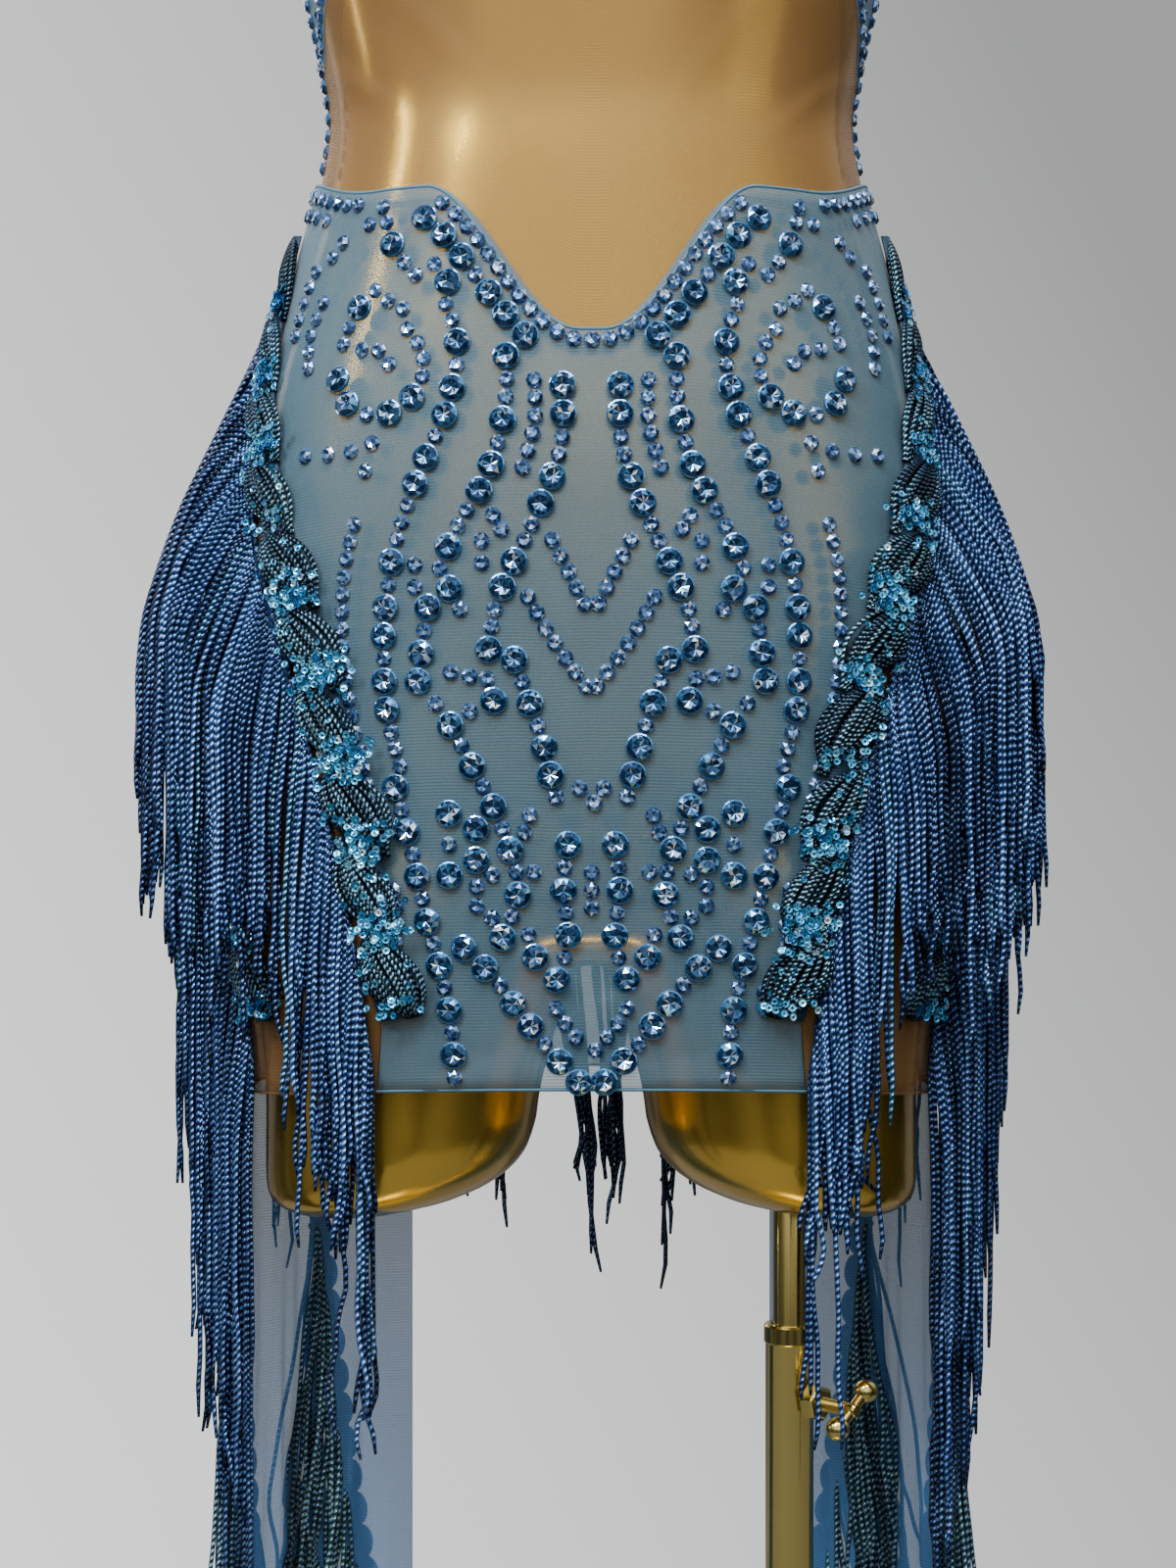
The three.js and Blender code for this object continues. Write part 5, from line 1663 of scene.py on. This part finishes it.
def train_side(side, share, z, out):
    """Beside the train. Below the hip the cloth hangs straight from the fullest level it passed."""
    level = np.maximum(z, np.minimum(train_top(share), HIP))
    points = body(side * mix(TRAIN_FRONT, TRAIN_BACK, share), level, out)
    points[..., 2] = z
    return points


def train(side, name):
    share = np.linspace(0, 1, TRAIN_COLUMNS)[None, ::side]
    z = mix(TRAIN_HEM, train_top(share), np.linspace(0, 1, TRAIN_ROWS)[:, None] ** 0.9)
    fold = (1 - np.cos(2 * np.pi * TRAIN_FOLDS * share)) / 2
    large = np.sin(2 * np.pi * (7.3 * share + z / 340))
    small = 0.6 * np.sin(2 * np.pi * (11.6 * share - z / 230) + 1)
    held = np.sin(np.pi * share) ** 0.3  # the two edges don't ripple
    out = fold_depth(share, z) * fold + RIPPLE * (large + small) * ease(-z, -740, -300) * held
    grid = [train_side(side, share, z, TRAIN_FACE - inner + out) for inner in (0, THICK)]
    return shell(name, *grid)


for side, name in SIDES:
    sew(train(side, f"train_{name}_chiffon"), TRAIN_MESH, f"train_{name}")


# %% [markdown]
# Each train carries two narrow edgings with scallops, which run down and back, and their fringe
# hangs over the cloth, or behind it where the train's back edge is near. Here a path's first number
# is not an angle but hundredths of the train's width, so the trims follow the train and its folds.

# %% Edgings of the trains
TRAIN_TRIM = 7.8  # the back of an edging, from the figure
TRAIN_FRINGE_LONG = 213
# spread is how far a cord may drift across, in hundredths of the width; within is the share of cords
# that hang inside the train.
TRAIN_TRIMS = [
    {"name": "side", "scallops": 15, "strands": 170, "spread": (-14, 30),
     "path": [(6, 545), (20, 430), (42, 310)]},
    {"name": "rear", "scallops": 16, "strands": 84, "spread": (-26, 3), "within": 0.6,
     "path": [(58, 600), (72, 470), (94, 330)]},
]


def on_train(side, hundredths, z, out):
    """A place on the outer face of the train's folds."""
    share = hundredths / 100
    return train_side(side, share, z, out + fold_depth(share, z))


def scalloped_band(trim, at):
    """An edging with scallops towards the train's middle."""
    share = np.linspace(0, 1, trim["scallops"] * 10 + 1)[:, None]
    across = np.linspace(1, 0, 5)[None, :]
    reach = 3.5 + 4.0 * np.abs(np.sin(np.pi * share * trim["scallops"])) ** 0.6
    aside = 3.0 - (1 - across) * (3.0 + reach)
    outer = at(share, aside, 1.5 + 0.5 * np.cos(np.pi * (across - 0.5)))[0]
    inner = at(share, aside, 0.7 + 0 * across)[0]
    return outer, inner


LILAC = (0.8, 0.9, 1.0, 1)  # tint of the edgings' sheen
EDGING = material("edging", mesh_cloth((0.22, 0.32, 0.62), (0.12, 0.20, 0.46), 0.98, 0.86, LILAC))
print("edgings:", ", ".join(trim["name"] for trim in TRAIN_TRIMS))

# %% Fringe of the trains
FRINGE_HEM = TRAIN_HEM - 18  # no cord of a train ends lower than this
CROWDING = 1.5  # above 1, the cords stand closer together near the edging's upper end
WAVES = 1.5  # a train's cords wander this much more than a trim's
TRAIN_SHADES = [(0.0, (0.008, 0.04, 0.07)), (0.4, (0.02, 0.10, 0.17)), (0.75, (0.05, 0.18, 0.28)),
                (1.0, (0.03, 0.20, 0.24))]
# its last colour is the painted highlight on the beads' crowns
TRAIN_CORD = material("train_cord", cord_paint(TRAIN_SHADES, 0.35, (0.42, 0.70, 0.95)))


def train_fringe(trim, side, node):
    """An edging, the cords that hang from it and its sequins."""
    route = trim_route(trim["path"])
    at = offset_from(route, side, on_train, TRAIN_TRIM)
    finish_piece(shell(node + "_edging", *scalloped_band(trim, at)), EDGING)
    count = trim["strands"]
    share = ((np.arange(count) + rng.uniform(0.1, 0.9, count)) / count) ** CROWDING
    start = at(share, 3.0, 1.6)[0]
    place = route(share)[0][:, None]
    ends = (TRAIN_FRINGE_LONG * rng.normal(1, 0.05, count))[:, None]
    ends = np.minimum(ends, start[:, 2:] - FRINGE_HEM)
    drop = np.linspace(0, 1, 30)[None, :] * ends
    z = start[:, 2:] - drop
    layer = rng.random(count)[:, None]
    outside = TRAIN_TRIM + mix(2.0, 4.5 + 7 * layer, ease(drop, 0, 60))
    inside = TRAIN_FACE + mix(-1.5, -3.0 - 6 * layer, ease(drop, 0, 60))
    within = rng.random(count)[:, None] < trim.get("within", 0.0)
    out = np.where(within, inside, outside)
    spread = rng.uniform(*trim["spread"], (count, 1)) * ease(drop, 0, 150)
    shifted = place + spread + bundled(share * 100, 6, 0.3, 2.0)[:, None] * 0.3 * ease(drop, 30, 150)
    paths = on_train(side, shifted, z, out)
    lead = 1 - ease(drop, 0, LEAD)
    paths = mix(paths, start[:, None, :] - (0, 0, 1) * drop[..., None], lead[..., None])
    turn = side * mix(TRAIN_FRONT, TRAIN_BACK, place[:, 0] / 100)
    outward = unit(skin_frame(turn, HIP + 0 * turn)[2] * (1, 1, 0))
    aside = np.cross(outward, (0, 0, 1.0))
    paths = paths + aside[:, None, :] * WAVES * wander(drop, count, ends)[..., None]
    strands = tubes(node + "_strands", paths, CORD_R, outward, cord_tones(count), sides=4)
    finish_piece(strands, TRAIN_CORD, [node])
    sequins[side].append(at(np.repeat(share, 2), rng.uniform(-4, 4, 2 * count), 2.4))


for trim in TRAIN_TRIMS:
    for side, name in SIDES:
        train_fringe(trim, side, f"train_fringe_{trim['name']}_{name}")
print("trains trimmed")

# %% Sequins
SEQUIN_TILT = 0.26
shape = sequin_shape()
for side, name in SIDES:
    seats = np.concatenate([points for points, _ in sequins[side]])
    normals = np.concatenate([normal for _, normal in sequins[side]])
    frames = frames_on(normals, SEQUIN_TILT)
    tones = np.repeat(rng.beta(1.4, 2.5, len(seats)), len(shape[1]))
    made = scatter(f"sequins_{name}", seats, frames, shape, tones)
    finish_piece(made, SEQUIN)
    print(made.name, len(seats))

# %% [markdown]
# ## The stand
#
# The pole is turned and drawn tube: a rod that slides in it, a collar, and a screw with a cross bar
# that clamps the rod. A lathe profile gives each its rounded edges, which is where polished metal
# catches the light.

# %% Turned metal
POLE_X, POLE_TOP, TUBE_R = 91, 550, 11
ROD_R, ROD_LOW, ROD_HIGH = 7.4, 290, 650
BORE_LOW = ROD_LOW - 60  # the rod slides 45 mm down into the tube
BASE_X, BASE_R, BASE_HIGH = 30, 175, 8
HALF_TURN = math.sqrt(0.5)
AIM = np.array([HALF_TURN, -HALF_TURN, 0])  # the clamp screw points this way
SOFT = 0.8  # how far a bar's ends are rounded off
POLE = np.array([POLE_X, 0, 0])
UP = np.array([0, 0, 1.0])


def turned(name, profile, foot, axis=UP, sides=56, smooth=True):
    """A profile, of a radius and a distance from the foot along the axis, turned round that axis."""
    side_on = unit(np.cross(axis, (0.3, 0.9, 0.2)))
    third = np.cross(axis, side_on)
    turn = 2 * np.pi * np.arange(sides) / sides
    around = np.cos(turn)[:, None] * side_on + np.sin(turn)[:, None] * third
    rings = [foot + axis * far + around * max(radius, 0.01) for radius, far in profile]
    made = loft(np.array(rings), name)
    made.data.polygons.foreach_set("use_smooth", [smooth] * len(made.data.polygons))
    if smooth:
        with bpy.context.temp_override(object=made, active_object=made, selected_objects=[made],
                                       selected_editable_objects=[made]):
            bpy.ops.object.shade_smooth_by_angle(angle=math.radians(32))
    return made


def rounded(low, high, radius):
    """The profile of a bar with softened ends."""
    lower = [(radius - SOFT, low), (radius - 0.3 * SOFT, low + 0.3 * SOFT), (radius, low + SOFT)]
    return lower + [(far, low + high - at) for far, at in reversed(lower)]


def finish_metal(made, nodes, rider):
    finish_piece(made, STAND_GOLD, nodes, rider)


print("the rod is", ROD_HIGH - ROD_LOW, "mm long")


# %% Base, tube and rod
def stand():
    flange = BASE_HIGH + 0.3
    base = [(0, 0), (BASE_R - 3, 0), (BASE_R - 1, 0.8), (BASE_R, 3), (BASE_R - 0.6, 5), (BASE_R - 3, 7.4),
            (BASE_R - 6, BASE_HIGH), (0, BASE_HIGH)]
    tube = [(0, flange), (27, flange), (28, flange + 1), (28, flange + 3.6), (26.6, flange + 5.2),
            (19, flange + 7.6), (14, flange + 11), (11.4, flange + 14), (TUBE_R, flange + 18),
            (TUBE_R, POLE_TOP - 9), (TUBE_R + 0.2, POLE_TOP - 8.6), (TUBE_R + 0.7, POLE_TOP - 8),
            (TUBE_R + 0.7, POLE_TOP - 1), (TUBE_R, POLE_TOP), (ROD_R + 1, POLE_TOP),
            (ROD_R + 0.5, POLE_TOP - 1), (ROD_R + 0.5, BORE_LOW), (0, BORE_LOW)]
    rod = rounded(ROD_LOW, ROD_HIGH, ROD_R)
    finish_metal(turned("base_plate", base, np.array([BASE_X, 0, 0]), sides=120), ["stand_base"], "stand")
    finish_metal(turned("pole_tube", tube, POLE), ["stand_tube"], "stand")
    finish_metal(turned("pole_rod", rod, POLE), ["stand_rod"], "dress_form")


stand()
print("base, tube and rod turned")

# %% Clamp
SCREW_Z = 516
THREAD_FROM, THREAD_TO, THREAD_PITCH = 8.5, 34, 1.25
BALL_R, BALL_FAR, BAR_TILT = 5.4, 12, 35  # the cross bar's balls, their distance from its middle


def clamp():
    foot = POLE + UP * SCREW_Z
    nut = [(7.0, 11.3), (8.2, 12.2), (8.4, 13), (8.4, 18.6), (7.6, 19.6), (6.4, 20)]
    finish_metal(turned("clamp_nut", nut, foot, AIM, sides=6, smooth=False), ["stand_clamp_nut"], "stand")
    thread = [(2.4, 7.7)]
    for k in range(int((THREAD_TO - THREAD_FROM) / THREAD_PITCH)):
        far = THREAD_FROM + THREAD_PITCH * k
        thread += [(2.6, far), (3.25, far + 0.45), (3.25, far + 0.7), (2.6, far + 1.15)]
    thread += [(3.3, 34.5), (3.3, 39), (2.6, 40)]
    finish_metal(turned("clamp_screw", thread, foot, AIM, sides=24), ["stand_clamp_screw"], "clamp_screw")
    tilt = math.radians(BAR_TILT)
    bar = math.cos(tilt) * np.array([HALF_TURN, HALF_TURN, 0]) + math.sin(tilt) * UP
    turns = np.linspace(0.02, 2.65, 12)
    profile = [(BALL_R * math.sin(turn), -BALL_FAR - BALL_R * math.cos(turn)) for turn in turns]
    profile += [(radius, -far) for radius, far in reversed(profile)]
    finish_metal(turned("clamp_bar", profile, foot + AIM * 37, bar, sides=32), (), "clamp_screw")


clamp()
print("clamp turned, its thread's pitch", THREAD_PITCH, "mm")

# %% [markdown]
# ## Studio
#
# Polished gold shows the room rather than itself, so the room matters as much as the lamps. The lamp
# that does most is a wide one high in front, which lights the cloth and the belly from above. A
# smaller one stands beside it, a little to the left, and narrow ones make the long glints on the
# belly and the hip. The rest are weak: they open the shadows and light the back.

# %% Floor and lamps
FLOOR_R, FLOOR_LOW, FLOOR_TOP = 1270, -12, -0.6
LAMPS = [
    # name, place, aim, width and height, power
    ("key", (-0.25, -1.15, 2.15), (0, 0, 0.9), (0.5, 0.5), 10),
    ("fill", (1.6, -1.3, 1.3), (0, 0, 0.8), (0.8, 1.0), 2),
    ("hip_glow", (-0.15, -2.3, 1.30), (0, 0, 1.0), (1.9, 0.42), 2),
    ("over", (0.0, -0.85, 2.35), (0, 0, 1.0), (1.3, 0.4), 27),
    ("belly_glint", (-0.88, -1.10, 2.04), (-0.05, -0.08, 1.1), (0.06, 0.42), 20),
    ("hip_glint", (-1.5, -0.57, 1.8), (-0.11, -0.07, 0.97), (0.08, 0.5), 5),
    ("side_strip", (-1.5, 0.12, 0.95), (-0.12, 0, 0.9), (0.08, 0.6), 2),
    ("back_fill", (-0.8, 2.0, 1.5), (0, 0, 0.8), (1.4, 1.2), 8),
]


def lamp(name, place, aim, size, power):
    """A rectangular lamp that points at a place."""
    data = bpy.data.lights.new(name, "AREA")
    data.shape = "RECTANGLE"
    data.size, data.size_y = size
    data.energy = power
    made = bpy.data.objects.new(name, data)
    made.location = place
    direction = np.array(aim, float) - np.array(place, float)
    yaw = math.atan2(direction[0], -direction[1])
    pitch = math.atan2(math.hypot(direction[0], direction[1]), -direction[2])
    made.rotation_euler = (pitch, 0, yaw + math.pi)
    bpy.context.scene.collection.objects.link(made)


def floor_finish(start):
    cloud = start.noise(2.2, 3.0, object_place(start))
    return {
        "Base Color": cloud.choose((0.11, 0.11, 0.11), (0.14, 0.14, 0.14)),
        "Roughness": 0.55 + cloud * 0.1,
    }


floor_profile = [(0, FLOOR_LOW), (FLOOR_R, FLOOR_LOW), (FLOOR_R, FLOOR_TOP), (0, FLOOR_TOP)]
floor = turned("floor", floor_profile, np.zeros(3), sides=128)
floor.data.materials.append(material("floor", floor_finish))
for settings in LAMPS:
    lamp(*settings)
print(len(LAMPS), "lamps")

# %% [markdown]
# The air is two rooms in one. The eye sees a pale grey wall, lighter towards the left and below.
# Everything that is reflected sees another room: nearly black below, brighter in front and above, with
# faint upright bands and a bright panel overhead. Without that difference the gold would take on the
# wall's even grey and look like paint. The wall never goes quite dark, also seen from behind.

# %% Air
ROOM_BRIGHTEST = (2.6, 2.6, 2.6)
WALL_DARK, WALL_LIGHT = (0.40, 0.41, 0.405), (1.48, 1.52, 1.5)


def air():
    world = bpy.data.worlds.new("air")
    world.use_nodes = True
    bpy.context.scene.world = world
    start = Value(world.node_tree)
    seen_directly = start.node("ShaderNodeLightPath")
    side, depth, height = start.node("ShaderNodeTexCoord", {}, {}, out="Generated").parts()
    up = (height * 2.2 + 0.16).clamped()
    ahead = (1.25 - side.size() * 1.05).clamped() * (0.6 - depth * 0.4)
    bands = (side * 11.0 + 0.9).sine() * 0.05 + 0.05
    panel = ((height - 0.12) * 5.0).clamped() * ((0.95 - side.size()) * 4.0).clamped()
    bright = (0.02 + bands * 0.4 + up * ahead * 0.46 + panel * 0.2).clamped()
    room = bright.choose((0.0, 0.0, 0.0), ROOM_BRIGHTEST)
    wall = (0.37 - side * 1.233 - height * 0.685).clamped().choose(WALL_DARK, WALL_LIGHT)
    shown = start.blend(seen_directly, room, wall)
    background = world.node_tree.nodes["Background"]
    world.node_tree.links.new(shown.socket, background.inputs["Color"])
    background.inputs["Strength"].default_value = 1.0


air()
print("studio ready")

# %% Sizes
pieces = [made for made in bpy.data.objects if made.type == "MESH" and "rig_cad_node" not in made]
total = sum(len(face.vertices) - 2 for made in pieces for face in made.data.polygons)
print(len(pieces), "pieces with", total, "triangles")
